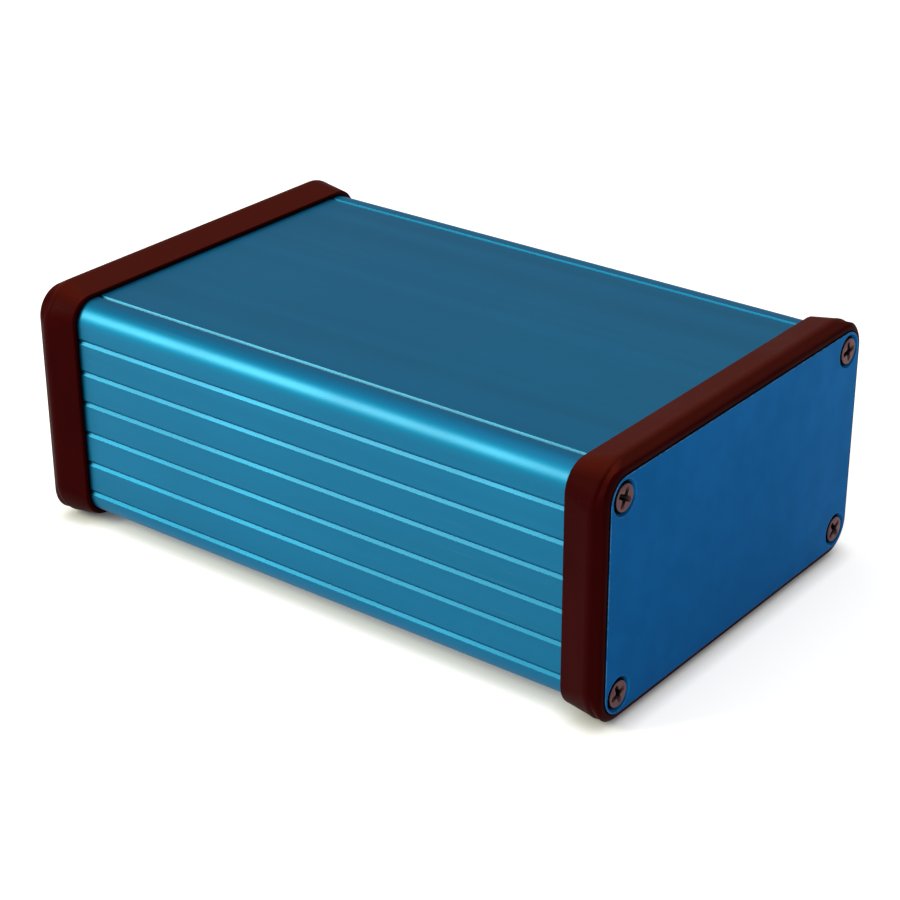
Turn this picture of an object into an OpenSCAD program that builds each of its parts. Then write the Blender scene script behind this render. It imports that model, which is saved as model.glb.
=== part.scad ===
// Single board computer in an extruded aluminium case.
// X runs along the case, Y across it, Z up. The origin is under the middle, at the level it stands on.

/* [Case] */
// Width of the aluminium case across its sides
case_w = 78; // [78:0.5:84]
// Height of the aluminium case
case_h = 43.2; // [43:0.2:50]
// Length of the case body
case_len = 120; // [118:1:160]
// Radius of the long outside edges
edge_r = 4.3; // [4:0.1:4.6]
// Thickness of the floor and the top lips
floor_t = 1.6; // [1.5:0.1:2]
// Thickness of the side walls
wall_t = 1.5; // [1.4:0.1:1.8]
// Depth of the fine V grooves in the sides
groove_d = 0.35; // [0.2:0.05:0.5]
// Width of the V grooves in the sides
groove_w = 1.2; // [0.6:0.1:1.4]
// Number of V grooves in each side
groove_count = 6; // [3:1:6]
// Height of the lowest V groove above the case floor
groove_z = 5.1; // [4.8:0.1:5.4]
// Distance between V grooves
groove_pitch = 6.22; // [5.5:0.02:6.3]

/* [Cover] */
// Distance from the side of the case to the cover's edge
cover_inset = 5.95; // [5.9:0.05:6.1]
// Depth of the V groove along each edge of the cover
seam_d = 0.45; // [0.2:0.05:0.5]
// Thickness of the tongue along each edge of the cover
tongue_t = 0.9; // [0.7:0.1:1]

/* [Bezels and panels] */
// Length of case that each bezel covers
bezel_cover = 5.2; // [4.5:0.1:6]
// How far the bezel stands out from the case side at its inner edge
lip_out = 1; // [0.9:0.05:1.2]
// How far the bezel stands out from the case side at its ridge
ridge_out = 2.45; // [2:0.05:3]
// Distance from the bezel's inner edge to its end face
bezel_depth = 8.4; // [8:0.1:10]
// Thickness of the end panels
panel_t = 1.6; // [1.5:0.1:2]
// How far the panel stands proud of the bezel
panel_proud = 0.25; // [0:0.05:0.4]

/* [Screws] */
// Distance between screws across the panel
screw_span_y = 71.5; // [71.3:0.1:71.7]
// Distance between screws up the panel
screw_span_z = 35.86; // [35.7:0.02:36]
// Length of a screw
screw_len = 11; // [8:0.5:14]

/* [Board] */
// Length of the circuit board
board_len = 100; // [96:1:112]
// Thickness of the circuit board
board_t = 1.6; // [1.5:0.1:1.7]
// Height of the board's underside above the case's underside
board_lift = 8; // [8:0.1:8.4]

/* [Hidden] */
$fn = 48;
eps = 0.02;

anodised = [0.09, 0.4, 0.58];
bezel_brown = [0.2, 0.06, 0.06];
screw_black = [0.22, 0.16, 0.17];
board_green = [0.05, 0.3, 0.17];
chip_black = [0.09, 0.09, 0.1];
tin = [0.75, 0.76, 0.77];
moulded_black = [0.05, 0.05, 0.055];
gold = [0.8, 0.62, 0.25];

// Bezel outline: half sizes stand out from the case by these amounts
lip_up = 0.85;
ridge_up = 2.28;
rim_back = 0.95;
rim_down = 1.2;
lip_r = 5;
ridge_r = 7.8;
rim_r = 5.2;
rim_wall = 1.05;
ridge_land = 0.8;
edge_land = 0.2;
fit_gap = 0.15;

half_len = case_len / 2;
case_z = ridge_up;
mid_z = case_z + case_h / 2;
bezel_in = half_len - bezel_cover;
bezel_end = bezel_in + bezel_depth;
panel_face = bezel_end + panel_proud;
panel_in = panel_face - panel_t;
ridge_x = bezel_in + 0.71 * bezel_depth;
panel_w = case_w + 2 * (ridge_out - rim_back - rim_wall);
panel_h = case_h + 2 * (ridge_up - rim_down - rim_wall);
panel_r = 4.2;

// Screws: flush countersunk heads
screw_r = 1.48;
bore_r = 1.55;
clear_r = 1.7;
sink_r = 3.15;
head_r = 2.4;
head_gap = 0.07;
boss_r = 2.9;

// Cover and its channels
cover_half = case_w / 2 - cover_inset;
slide_gap = 0.1;
tongue_out = 0.9;
ledge_t = 1.2;
ledge_in = 0.8;
top_z = case_z + case_h;
lip_z = top_z - floor_t;

// Card guides
rail_t = 1;
rail_out = 1.6;
guide_count = 4;
guide_pitch = 7.2;
side_y = case_w / 2 - wall_t;

// Board and its ports
board_w = 2 * (side_y - fit_gap);
board_rear = -half_len + 0.4;
board_front = board_rear + board_len;
board_z = case_z + board_lift;
board_top = board_z + board_t;
port_nose = -half_len - 2.6;
port_gap = 0.3;
jack_y = -27.5;
video_y = -11.5;
usb_y = 6;
network_y = 24.4;
jack_size = [14.4, 9, 11];
video_size = [11.6, 15, 6];
usb_size = [17.6, 13.2, 15.6];
network_size = [21.4, 16, 13.4];
jack_mouth_z = board_top + 6.4;
jack_mouth_r = 3.2;
sheet_t = 0.4;

// Memory card
card_y = video_y;
card_size = [15, 11, 1];
card_end = -panel_face + 0.15;
card_z = board_z - 1.5;
slot_size = [14.6, 14, 1.9];

// Header
header_pins_long = 20;
header_pitch = 2.54;
header_x = -31;
header_y = 31.6;
pin_w = 0.64;

// ---- helpers ----

// Rounded rectangle about its own centre
module rounded_rect(w, h, r) {
    square([w - 2 * r, h], center = true);
    square([w, h - 2 * r], center = true);
    for (y = [-1, 1], z = [-1, 1])
        translate([y * (w / 2 - r), z * (h / 2 - r)]) circle(r);
}

// Draws a Y-Z outline and runs it along X from x0
module along_x(x0, len)
    translate([x0, 0, 0]) rotate([90, 0, 90]) linear_extrude(len) children();

// The same, with the outline centred on the case's mid height
module along_case(x0, len)
    translate([0, 0, mid_z]) along_x(x0, len) children();

// Round bar or hole along X
module bar_x(x0, len, r)
    translate([x0, 0, 0]) rotate([0, 90, 0]) cylinder(h = len, r = r);

// Puts its children at the four screw places
module at_screws()
    for (y = [-1, 1], z = [-1, 1])
        translate([0, y * screw_span_y / 2, mid_z + z * screw_span_z / 2]) children();

// Box with a centre in X and Y that stands on z0
module block(x, y, z0, size)
    translate([x - size[0] / 2, y - size[1] / 2, z0]) cube(size);

// Box that starts at x0 and stands on z0
module block_from(x0, y, z0, size)
    translate([x0, y - size[1] / 2, z0]) cube(size);

// V groove that points along +Y, with its mouth at y = 0
module v_groove(depth, width) {
    out = 1;
    half = width / 2 * (1 + out / depth);
    polygon([[-out, -half], [depth, 0], [-out, half]]);
}

// ---- case ----

module case_profile() {
    boss_y = screw_span_y / 2;
    boss_low = mid_z - screw_span_z / 2;
    boss_high = mid_z + screw_span_z / 2;
    difference() {
        union() {
            difference() {
                translate([0, mid_z]) rounded_rect(case_w, case_h, edge_r);
                translate([-side_y, case_z + floor_t]) square([2 * side_y, case_h - 2 * floor_t]);
            }
            for (s = [0, 1]) mirror([s, 0]) {
                // screw channels in the corners
                intersection() {
                    translate([0, mid_z]) rounded_rect(case_w, case_h, edge_r);
                    for (z = [boss_low, boss_high]) translate([boss_y, z]) circle(boss_r);
                }
                // ledge that carries the cover's tongue
                translate([cover_half - ledge_in, lip_z - tongue_t - 2 * slide_gap - ledge_t])
                    square([side_y - cover_half + ledge_in + eps, ledge_t]);
                translate([cover_half + tongue_out + slide_gap, lip_z - tongue_t - 2 * slide_gap - eps])
                    square([side_y - cover_half - tongue_out, tongue_t + 2 * slide_gap + 2 * eps]);
                // card guides
                for (i = [0 : guide_count - 1], d = [-board_t - slide_gap - rail_t, slide_gap])
                    translate([side_y - rail_out, board_top + i * guide_pitch + d])
                        square([rail_out + eps, rail_t]);
            }
        }
        // opening for the cover, and the channel for its tongues
        translate([-cover_half, lip_z - 1]) square([2 * cover_half, floor_t + 2]);
        translate([-cover_half - tongue_out - slide_gap, lip_z - tongue_t - 2 * slide_gap])
            square([2 * (cover_half + tongue_out + slide_gap), tongue_t + 2 * slide_gap]);
        for (s = [0, 1]) mirror([s, 0]) {
            for (z = [boss_low, boss_high]) translate([boss_y, z]) circle(bore_r);
            for (i = [0 : groove_count - 1])
                translate([-case_w / 2, case_z + groove_z + i * groove_pitch]) v_groove(groove_d, groove_w);
            translate([cover_half, top_z]) rotate(-90) v_groove(seam_d, 2 * seam_d);
        }
    }
}

module case_body()
    color(anodised) along_x(-half_len, case_len) case_profile();

module cover_plate() {
    plate_half = cover_half - slide_gap;
    under = lip_z - slide_gap;
    color(anodised) along_x(-half_len, case_len) difference() {
        union() {
            translate([-plate_half, under - tongue_t]) square([2 * plate_half, top_z - under + tongue_t]);
            translate([-cover_half - tongue_out, under - tongue_t])
                square([2 * (cover_half + tongue_out), tongue_t]);
        }
        translate([-plate_half + 2, under - tongue_t - 1]) square([2 * plate_half - 4, tongue_t + 1]);
        for (s = [0, 1]) mirror([s, 0]) translate([-cover_half, top_z]) rotate(-90) v_groove(seam_d, 2 * seam_d);
    }
}

// ---- ends ----

module bezel_slice(x, len, out, up, r)
    along_case(x, len) rounded_rect(case_w + 2 * out, case_h + 2 * up, r, $fn = 32);

module bezel() {
    window_y = [34.2, 30.5];
    window_z = [13, 18.6];
    difference() {
        hull() {
            bezel_slice(bezel_in, edge_land, lip_out, lip_up, lip_r);
            bezel_slice(ridge_x - ridge_land / 2, ridge_land, ridge_out, ridge_up, ridge_r);
            bezel_slice(bezel_end - edge_land, edge_land, ridge_out - rim_back, ridge_up - rim_down, rim_r);
        }
        along_case(bezel_in - 1, bezel_cover + 1 + slide_gap)
            rounded_rect(case_w + 2 * fit_gap, case_h + 2 * fit_gap, edge_r + fit_gap);
        along_case(panel_in, panel_t + 1)
            rounded_rect(panel_w + 2 * fit_gap, panel_h + 2 * fit_gap, panel_r + fit_gap);
        along_case(bezel_in, bezel_depth) for (i = [0, 1])
            square([2 * window_y[i], 2 * window_z[i]], center = true);
        at_screws() bar_x(bezel_in, bezel_depth, clear_r);
    }
}

module panel() {
    sink_end = panel_t - 0.1;
    difference() {
        along_case(panel_in, panel_t) rounded_rect(panel_w, panel_h, panel_r);
        at_screws() {
            bar_x(panel_in - 1, panel_t + 2, clear_r);
            translate([panel_face - sink_end, 0, 0]) rotate([0, 90, 0])
                cylinder(h = sink_end + eps, r1 = sink_r - sink_end, r2 = sink_r + eps);
        }
    }
}

// One countersunk screw on the X axis, its face at the panel's face
module screw() {
    shoulder = sink_r - head_gap - head_r;
    cone_end = sink_r - head_gap - screw_r;
    tip = 0.8;
    cross_w = 0.9;
    difference() {
        translate([panel_face, 0, 0]) rotate([0, -90, 0]) rotate_extrude()
            polygon([
                [0, 0],
                [head_r, 0],
                [head_r, shoulder],
                [screw_r, cone_end],
                [screw_r, screw_len - tip],
                [screw_r - tip, screw_len],
                [0, screw_len]
            ]);
        // cross recess
        for (a = [0, 90]) rotate([a + 20, 0, 0])
            translate([panel_face - 0.9, -2 * cross_w, -cross_w / 2]) cube([1, 4 * cross_w, cross_w]);
        translate([panel_face - 1.4, 0, 0]) rotate([0, 90, 0]) cylinder(h = 1.5, r1 = 0.4, r2 = 0.9);
    }
}

module screws()
    at_screws() screw();

module front_bezel()
    color(bezel_brown) bezel();

module front_panel()
    color(anodised) panel();

module front_screws()
    color(screw_black) screws();

module rear_bezel()
    color(bezel_brown) mirror([1, 0, 0]) bezel();

// Port opening in the rear panel, around a port of this width and height
module port_hole(y, z0, w, h)
    block(-panel_face, y, z0 - port_gap, [6, w + 2 * port_gap, h + 2 * port_gap]);

module rear_panel()
    color(anodised) difference() {
        mirror([1, 0, 0]) panel();
        translate([0, jack_y, jack_mouth_z]) bar_x(-panel_face - 1, panel_t + 2, jack_mouth_r + 1.1);
        port_hole(video_y, board_top, video_size[1], video_size[2]);
        port_hole(usb_y, board_top, usb_size[1], usb_size[2]);
        port_hole(network_y, board_top, network_size[1], network_size[2]);
        port_hole(card_y, card_z, card_size[1] + 1, card_size[2]);
    }

module rear_screws()
    color(screw_black) mirror([1, 0, 0]) screws();

// ---- board and chips ----

module circuit_board()
    color(board_green) translate([board_rear, -board_w / 2, board_z]) cube([board_len, board_w, board_t]);

cpu = [-14, -4];
cpu_size = [17, 17, 1.2];
pad_t = 0.5;
sink_size = [30, 30, 9];

module processor()
    color(chip_black) block(cpu[0], cpu[1], board_top, cpu_size);

module thermal_pad()
    color([0.55, 0.6, 0.68]) block(cpu[0], cpu[1], board_top + cpu_size[2], [15, 15, pad_t]);

module heat_sink() {
    base_t = 1.8;
    fin_count = 9;
    fin_t = 1;
    fin_step = (sink_size[1] - fin_t) / (fin_count - 1);
    z0 = board_top + cpu_size[2] + pad_t;
    color([0.15, 0.15, 0.16]) union() {
        block(cpu[0], cpu[1], z0, [sink_size[0], sink_size[1], base_t]);
        for (i = [0 : fin_count - 1])
            translate([cpu[0] - sink_size[0] / 2, cpu[1] - sink_size[1] / 2 + i * fin_step, z0 + base_t - eps])
                cube([sink_size[0], fin_t, sink_size[2] - base_t]);
    }
}

module chip(x, y, size)
    color(chip_black) block(x, y, board_top, size);

module memory_chip_a() chip(13, -13, [10, 14.5, 1]);
module memory_chip_b() chip(13, 5, [10, 14.5, 1]);
module storage_chip() chip(27, -13, [11.5, 13, 1]);
module power_controller() chip(-38, -13, [7, 7, 0.9]);
module network_controller() chip(-33, 21, [6, 6, 0.9]);
module usb_controller() chip(-38, 5, [7, 7, 0.9]);

module power_inductor()
    color([0.2, 0.2, 0.21]) block(-28, -28, board_top, [7, 7, 3.2]);

module power_capacitors()
    color(tin) for (x = [-41, -19]) translate([x, -28, board_top]) {
        cylinder(h = 7.2, r = 3.15);
        translate([-3.3, -3.3, 0]) cube([6.6, 6.6, 0.9]);
    }

module input_fuse()
    color([0.3, 0.42, 0.3]) block(-11, -29, board_top, [4.6, 3.2, 1.2]);

module clock_crystal()
    color(tin) block(-1.5, 13, board_top, [5, 3.2, 1.1]);

module status_lights()
    color([0.8, 0.9, 0.8]) for (y = [-31, -27.5]) block(board_front - 3, y, board_top, [1.6, 2.2, 0.9]);

// ---- ports ----

module power_jack() {
    mouth_depth = 9.5;
    color(moulded_black) difference() {
        union() {
            block_from(port_nose + 2.4, jack_y, board_top, [jack_size[0] - 2.4, jack_size[1], jack_size[2]]);
            translate([0, jack_y, jack_mouth_z]) bar_x(port_nose, 3, jack_mouth_r + 0.8);
        }
        translate([0, jack_y, jack_mouth_z]) bar_x(port_nose - 1, mouth_depth + 1, jack_mouth_r);
    }
}

module power_pin()
    color(tin) translate([0, jack_y, jack_mouth_z]) bar_x(port_nose + 1.2, 8.3, 1);

// Open-ended sheet shell of a port, closed at its inner end
module port_shell(y, size)
    color(tin) difference() {
        block_from(port_nose, y, board_top, size);
        block_from(port_nose - 1, y, board_top + sheet_t,
            [size[0] + 1 - sheet_t, size[1] - 2 * sheet_t, size[2] - 2 * sheet_t]);
    }

module network_shell() port_shell(network_y, network_size);

module network_insert() {
    in_w = network_size[1] - 2 * sheet_t;
    in_h = network_size[2] - 2 * sheet_t;
    z0 = board_top + sheet_t;
    color(moulded_black) difference() {
        block_from(port_nose + 0.4, network_y, z0, [network_size[0] - 0.4 - sheet_t, in_w, in_h]);
        block_from(port_nose, network_y, z0 + 3.2, [14, 11.8, 7]);
        block_from(port_nose, network_y, z0 + 1.6, [12, 6, 2]);
    }
}

module usb_shell() port_shell(usb_y, usb_size);

module usb_insert() {
    in_w = usb_size[1] - 2 * sheet_t;
    z0 = board_top + sheet_t;
    back = 5;
    color(moulded_black) union() {
        block_from(port_nose + usb_size[0] - sheet_t - back, usb_y, z0, [back, in_w, usb_size[2] - 2 * sheet_t]);
        block_from(port_nose + 0.5, usb_y, z0 + 6.1, [usb_size[0] - back, in_w, 2.6]);
        for (z = [3.4, 12.2])
            block_from(port_nose + 1.5, usb_y, z0 + z, [usb_size[0] - back, 11, 1.5]);
    }
}

module video_shell() port_shell(video_y, video_size);

module video_insert() {
    in_w = video_size[1] - 2 * sheet_t;
    in_h = video_size[2] - 2 * sheet_t;
    back = 3;
    z0 = board_top + sheet_t;
    color(moulded_black) union() {
        block_from(port_nose + video_size[0] - sheet_t - back, video_y, z0, [back, in_w, in_h]);
        block_from(port_nose + 1, video_y, z0 + 1.9, [video_size[0] - back, 11.6, 1.3]);
    }
}

// ---- memory card and its slot, under the board ----

module card_slot()
    color(tin) difference() {
        block_from(board_rear + 0.2, card_y, board_z - slot_size[2], slot_size);
        block_from(board_rear - 1, card_y, card_z - 0.1, [13.2, card_size[1] + 0.2, card_size[2] + 0.2]);
    }

module memory_card()
    color(chip_black) block_from(card_end, card_y, card_z, card_size);

// ---- connectors on the board ----

header_len = header_pins_long * header_pitch;

module header_base()
    color(moulded_black) difference() {
        block_from(header_x, header_y, board_top, [header_len, 2 * header_pitch, 2.5]);
        header_grid() translate([0, 0, board_top - 1]) cube([pin_w, pin_w, 5]);
    }

module header_grid()
    for (i = [0 : header_pins_long - 1], j = [-0.5, 0.5])
        translate([header_x + (i + 0.5) * header_pitch - pin_w / 2, header_y + j * header_pitch - pin_w / 2, 0])
            children();

module header_pins()
    color(gold) header_grid() translate([0, 0, board_top]) cube([pin_w, pin_w, 8.6]);

module flat_cable_connector(x, y)
    color([0.85, 0.83, 0.76]) difference() {
        block(x, y, board_top, [4.4, 21, 5.4]);
        block(x, y, board_top + 1.4, [1, 17, 5]);
    }

module display_connector() flat_cable_connector(board_front - 4.4, 12);
module camera_connector() flat_cable_connector(board_front - 14.4, 12);

case_body();
cover_plate();
front_bezel();
front_panel();
front_screws();
rear_bezel();
rear_panel();
rear_screws();
circuit_board();
processor();
thermal_pad();
heat_sink();
memory_chip_a();
memory_chip_b();
storage_chip();
power_jack();
power_pin();
power_controller();
power_inductor();
power_capacitors();
input_fuse();
network_shell();
network_insert();
network_controller();
usb_shell();
usb_insert();
usb_controller();
video_shell();
video_insert();
card_slot();
memory_card();
header_base();
header_pins();
display_connector();
camera_connector();
clock_crystal();
status_lights();
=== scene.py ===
# Single board computer in a grooved blue aluminium case: the looks of every piece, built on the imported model.
# All places are in metres in the model's own frame: X along the case, Y across it, Z up.

import math
import random

import bmesh
import bpy
from mathutils import Matrix, Vector


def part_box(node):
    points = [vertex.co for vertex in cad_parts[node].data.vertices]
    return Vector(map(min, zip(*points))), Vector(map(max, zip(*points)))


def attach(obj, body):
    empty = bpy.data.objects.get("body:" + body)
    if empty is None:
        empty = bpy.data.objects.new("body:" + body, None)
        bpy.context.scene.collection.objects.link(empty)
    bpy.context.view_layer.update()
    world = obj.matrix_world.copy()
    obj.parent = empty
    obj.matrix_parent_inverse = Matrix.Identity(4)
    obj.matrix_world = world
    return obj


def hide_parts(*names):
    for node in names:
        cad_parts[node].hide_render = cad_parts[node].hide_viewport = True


MM = 0.001

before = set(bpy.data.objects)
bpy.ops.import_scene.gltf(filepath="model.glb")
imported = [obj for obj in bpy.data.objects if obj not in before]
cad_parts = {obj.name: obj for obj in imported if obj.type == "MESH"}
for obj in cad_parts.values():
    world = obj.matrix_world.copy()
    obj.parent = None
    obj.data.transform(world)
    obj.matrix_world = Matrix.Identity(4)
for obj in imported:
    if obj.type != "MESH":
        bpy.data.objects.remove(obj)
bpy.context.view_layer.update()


# ---- sizes of the case and its ends ----

case_low, case_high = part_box("case_body")
HALF_LEN = case_high.x
HALF_W = case_high.y
HALF_H = (case_high.z - case_low.z) / 2
MID_Z = (case_high.z + case_low.z) / 2
FLOOR_Z = case_low.z
TOP_Z = case_high.z

EDGE_R = 4.3 * MM
FLOOR_T = 1.6 * MM
SIDE_Y = HALF_W - 1.5 * MM
GROOVE_DEPTH = 0.35 * MM
GROOVE_HALF = 0.6 * MM
SEAM = 0.45 * MM
GROOVE_COUNT = 6
GROOVE_FIRST = 5.1 * MM
GROOVE_PITCH = 6.22 * MM
SLIDE_GAP = 0.1 * MM
CUT_EDGE = 0.08 * MM
ROUND = 48
FINE_ROUND = 56

COVER_HALF = HALF_W - 5.95 * MM
TONGUE_T = 0.9 * MM
TONGUE_OUT = 0.9 * MM
LEDGE_T = 1.2 * MM
LEDGE_IN = 0.8 * MM
LIP_Z = TOP_Z - FLOOR_T

SCREW_Y = 35.75 * MM
SCREW_Z = 17.93 * MM
BOSS_R = 2.9 * MM
BORE_R = 1.55 * MM
CLEAR_R = 1.7 * MM
SINK_R = 3.15 * MM

board_low, board_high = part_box("circuit_board")
BOARD_TOP = board_high.z
GUIDE_COUNT = 4
GUIDE_PITCH = 7.2 * MM
GUIDE_GAP = 1.8 * MM
RAIL_T = 1.0 * MM
RAIL_OUT = 1.6 * MM

bezel_low, bezel_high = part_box("front_bezel")
BEZEL_IN = bezel_low.x
BEZEL_END = bezel_high.x
BEZEL_OUT = bezel_high.y - HALF_W
BEZEL_UP = bezel_high.z - TOP_Z
RIDGE_X = BEZEL_IN + 0.71 * (BEZEL_END - BEZEL_IN)
POCKET_X = HALF_LEN + 0.1 * MM
FIT_GAP = 0.15 * MM

panel_low, panel_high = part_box("front_panel")
PANEL_IN = panel_low.x
PANEL_FACE = panel_high.x
PANEL_HALF_Y = panel_high.y
PANEL_HALF_Z = (panel_high.z - panel_low.z) / 2
PANEL_R = 4.2 * MM


# ---- outlines in the Y-Z plane, anticlockwise seen from the front end ----


def arc(y, z, radius, start, end, steps):
    """Points on a circle from one angle to another, in degrees."""
    angles = [math.radians(start + (end - start) * i / steps) for i in range(steps + 1)]
    return [(y + radius * math.cos(a), z + radius * math.sin(a)) for a in angles]


def circle(y, z, radius, steps=40):
    """A closed circle of points, without the last one doubled."""
    return arc(y, z, radius, 0, 360, steps)[:-1]


def rounded_rect(half_y, half_z, radius, y=0.0, z=MID_Z, steps=14):
    """A rectangle round a middle point, with rounded corners."""
    points = []
    for quarter, (side, up) in enumerate(((1, 1), (-1, 1), (-1, -1), (1, -1))):
        corner = (y + side * (half_y - radius), z + up * (half_z - radius))
        points += arc(*corner, radius, 90 * quarter, 90 * quarter + 90, steps)
    return points


def rectangle(y0, y1, z0, z1):
    """A plain rectangle between two corners."""
    return [(y0, z0), (y1, z0), (y1, z1), (y0, z1)]


def box_outline(low, high, radius, back_off=0.0, steps=5, axes=(1, 2)):
    """A box's rounded outline, moved in by back_off: its end view, or its plan with axes (0, 1)."""
    across, up = axes
    half_across, half_up = (high[across] - low[across]) / 2 - back_off, (high[up] - low[up]) / 2 - back_off
    return rounded_rect(half_across, half_up, radius, (high[across] + low[across]) / 2,
                        (high[up] + low[up]) / 2, steps)


def inset(points, depth):
    """The outline moved to its left by depth: inwards if it is anticlockwise."""
    moved = []
    for i, point in enumerate(points):
        here = Vector(point)
        before = (here - Vector(points[i - 1])).normalized()
        after = (Vector(points[(i + 1) % len(points)]) - here).normalized()
        left_before = Vector((-before.y, before.x))
        left_after = Vector((-after.y, after.x))
        spread = max(1 + left_before.dot(left_after), 0.3)
        moved.append(tuple(here + (left_before + left_after) * (depth / spread)))
    return moved


def mirrored(half):
    """A closed outline from its right half, which runs from the centre line round to the centre line."""
    return half + [(-y, z) for y, z in reversed(half) if y > 1e-7]


def side_groove(z):
    """A V groove in the right side, from below to above."""
    return [(HALF_W, z - GROOVE_HALF), (HALF_W - GROOVE_DEPTH, z), (HALF_W, z + GROOVE_HALF)]


def case_outline():
    """The extrusion's section: floor, grooved sides, screw channels, card guides and the cover's channels."""
    half = [(0, FLOOR_Z)]
    half += arc(HALF_W - EDGE_R, FLOOR_Z + EDGE_R, EDGE_R, -90, 0, 16)
    for i in range(GROOVE_COUNT):
        half += side_groove(FLOOR_Z + GROOVE_FIRST + i * GROOVE_PITCH)
    half += arc(HALF_W - EDGE_R, TOP_Z - EDGE_R, EDGE_R, 0, 90, 16)
    # beside the cover, down into the channel that holds its tongue
    channel_low = LIP_Z - TONGUE_T - 2 * SLIDE_GAP
    channel_side = COVER_HALF + TONGUE_OUT + SLIDE_GAP
    half += [(COVER_HALF + SEAM, TOP_Z), (COVER_HALF, TOP_Z - SEAM), (COVER_HALF, LIP_Z)]
    half += [(channel_side, LIP_Z), (channel_side, channel_low), (COVER_HALF - LEDGE_IN, channel_low)]
    # round the upper screw channel
    ledge_low = channel_low - LEDGE_T
    high = MID_Z + SCREW_Z
    to_ledge = math.degrees(math.asin((ledge_low - high) / BOSS_R))
    to_side = math.degrees(math.acos((SIDE_Y - SCREW_Y) / BOSS_R))
    half += [(COVER_HALF - LEDGE_IN, ledge_low)]
    half += arc(SCREW_Y, high, BOSS_R, 180 - to_ledge, 360 - to_side, 12)
    # card guides, downwards
    for i in reversed(range(GUIDE_COUNT)):
        gap_top = BOARD_TOP + i * GUIDE_PITCH + SLIDE_GAP
        for upper in (gap_top + RAIL_T, gap_top - GUIDE_GAP):
            half += [(SIDE_Y, upper), (SIDE_Y - RAIL_OUT, upper)]
            half += [(SIDE_Y - RAIL_OUT, upper - RAIL_T), (SIDE_Y, upper - RAIL_T)]
    # round the lower screw channel to the floor
    low = MID_Z - SCREW_Z
    to_floor = math.degrees(math.asin((low - FLOOR_Z - FLOOR_T) / BOSS_R))
    half += arc(SCREW_Y, low, BOSS_R, to_side, 180 + to_floor, 12)
    half += [(0, FLOOR_Z + FLOOR_T)]
    return mirrored(half)


def cover_outline():
    """The sliding cover's section: a plate with a tongue along each edge and a shallow hollow beneath."""
    edge = COVER_HALF - SLIDE_GAP
    tongue_top = LIP_Z - SLIDE_GAP
    under = tongue_top - TONGUE_T
    half = [(0, tongue_top), (edge - 2 * MM, tongue_top), (edge - 2 * MM, under)]
    half += [(COVER_HALF + TONGUE_OUT, under), (COVER_HALF + TONGUE_OUT, tongue_top), (edge, tongue_top)]
    half += [(edge, TOP_Z - SEAM - SLIDE_GAP), (COVER_HALF - SEAM, TOP_Z), (0, TOP_Z)]
    return mirrored(half)


SCREW_PLACES = [(side * SCREW_Y, MID_Z + up * SCREW_Z) for side in (-1, 1) for up in (-1, 1)]


# ---- mesh building ----


def wall(bm, rings, flip):
    """A skin through rings, each given as (x, points). Returns the first and last ring's vertices."""
    made = [[bm.verts.new((-x if flip else x, y, z)) for y, z in points] for x, points in rings]
    for low, high in zip(made, made[1:]):
        for i in range(len(low)):
            j = (i + 1) % len(low)
            bm.faces.new((low[i], low[j], high[j], high[i]))
    return made[0], made[-1]


def cap(bm, loops):
    """Fills a flat face between an outer loop of vertices and the loops of its holes."""
    edges = []
    for loop in loops:
        for i, vertex in enumerate(loop):
            edge = bm.edges.get((loop[i - 1], vertex)) or bm.edges.new((loop[i - 1], vertex))
            edges.append(edge)
    bmesh.ops.triangle_fill(bm, use_beauty=True, use_dissolve=False, edges=edges)


def solid_of_walls(bm, walls, flip=False):
    """A closed solid: an outer wall and hole walls that all start at one flat face and end at another."""
    ends = [wall(bm, rings, flip) for rings in walls]
    cap(bm, [first for first, last in ends])
    cap(bm, [last for first, last in ends])


def rounded_wall(points, x0, x1, edge, steps=2):
    """The wall of an outline from x0 to x1, its two rims rounded by edge."""
    turns = [math.pi / 2 * i / steps for i in range(steps + 1)]
    start = [(x0 + edge * (1 - math.cos(t)), inset(points, edge * (1 - math.sin(t)))) for t in turns]
    end = [(x1 - edge * (1 - math.cos(t)), inset(points, edge * (1 - math.sin(t)))) for t in reversed(turns)]
    return start + end


def hole_wall(points, x0, x1, edge=0.12 * MM):
    """The wall of a hole with rounded rims: its outline runs the other way round."""
    return rounded_wall(list(reversed(points)), x0, x1, edge)


def add_block(bm, low, high, edge, segments=2):
    """A box between two corners with rounded edges."""
    made = bmesh.ops.create_cube(bm, size=1.0)["verts"]
    size = Vector(high) - Vector(low)
    centre = (Vector(high) + Vector(low)) / 2
    for vertex in made:
        vertex.co = Vector([centre[i] + vertex.co[i] * size[i] for i in range(3)])
    if edge:
        edges = {e for v in made for e in v.link_edges}
        bmesh.ops.bevel(bm, geom=list(edges), offset=edge, segments=segments, profile=0.5, affect="EDGES")


def add_bar(bm, x, y, half_x, half_y, low_z, high_z, edge, segments=2):
    """A rounded block round a place in plan, between two heights."""
    add_block(bm, (x - half_x, y - half_y, low_z), (x + half_x, y + half_y, high_z), edge, segments)


def finish_mesh(bm, name, material, sharp_angle=24):
    """Turns the built mesh into an object with smooth curves, crisp edges and even normals on its flats."""
    bmesh.ops.remove_doubles(bm, verts=bm.verts, dist=1e-7)
    bmesh.ops.recalc_face_normals(bm, faces=bm.faces)
    mesh = bpy.data.meshes.new(name)
    bm.to_mesh(mesh)
    bm.free()
    mesh.shade_smooth()
    mesh.set_sharp_from_angle(angle=math.radians(sharp_angle))
    mesh.materials.append(material)
    piece = bpy.data.objects.new(name, mesh)
    bpy.context.scene.collection.objects.link(piece)
    even = piece.modifiers.new("Even normals", "WEIGHTED_NORMAL")
    even.keep_sharp = True
    return piece


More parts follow.
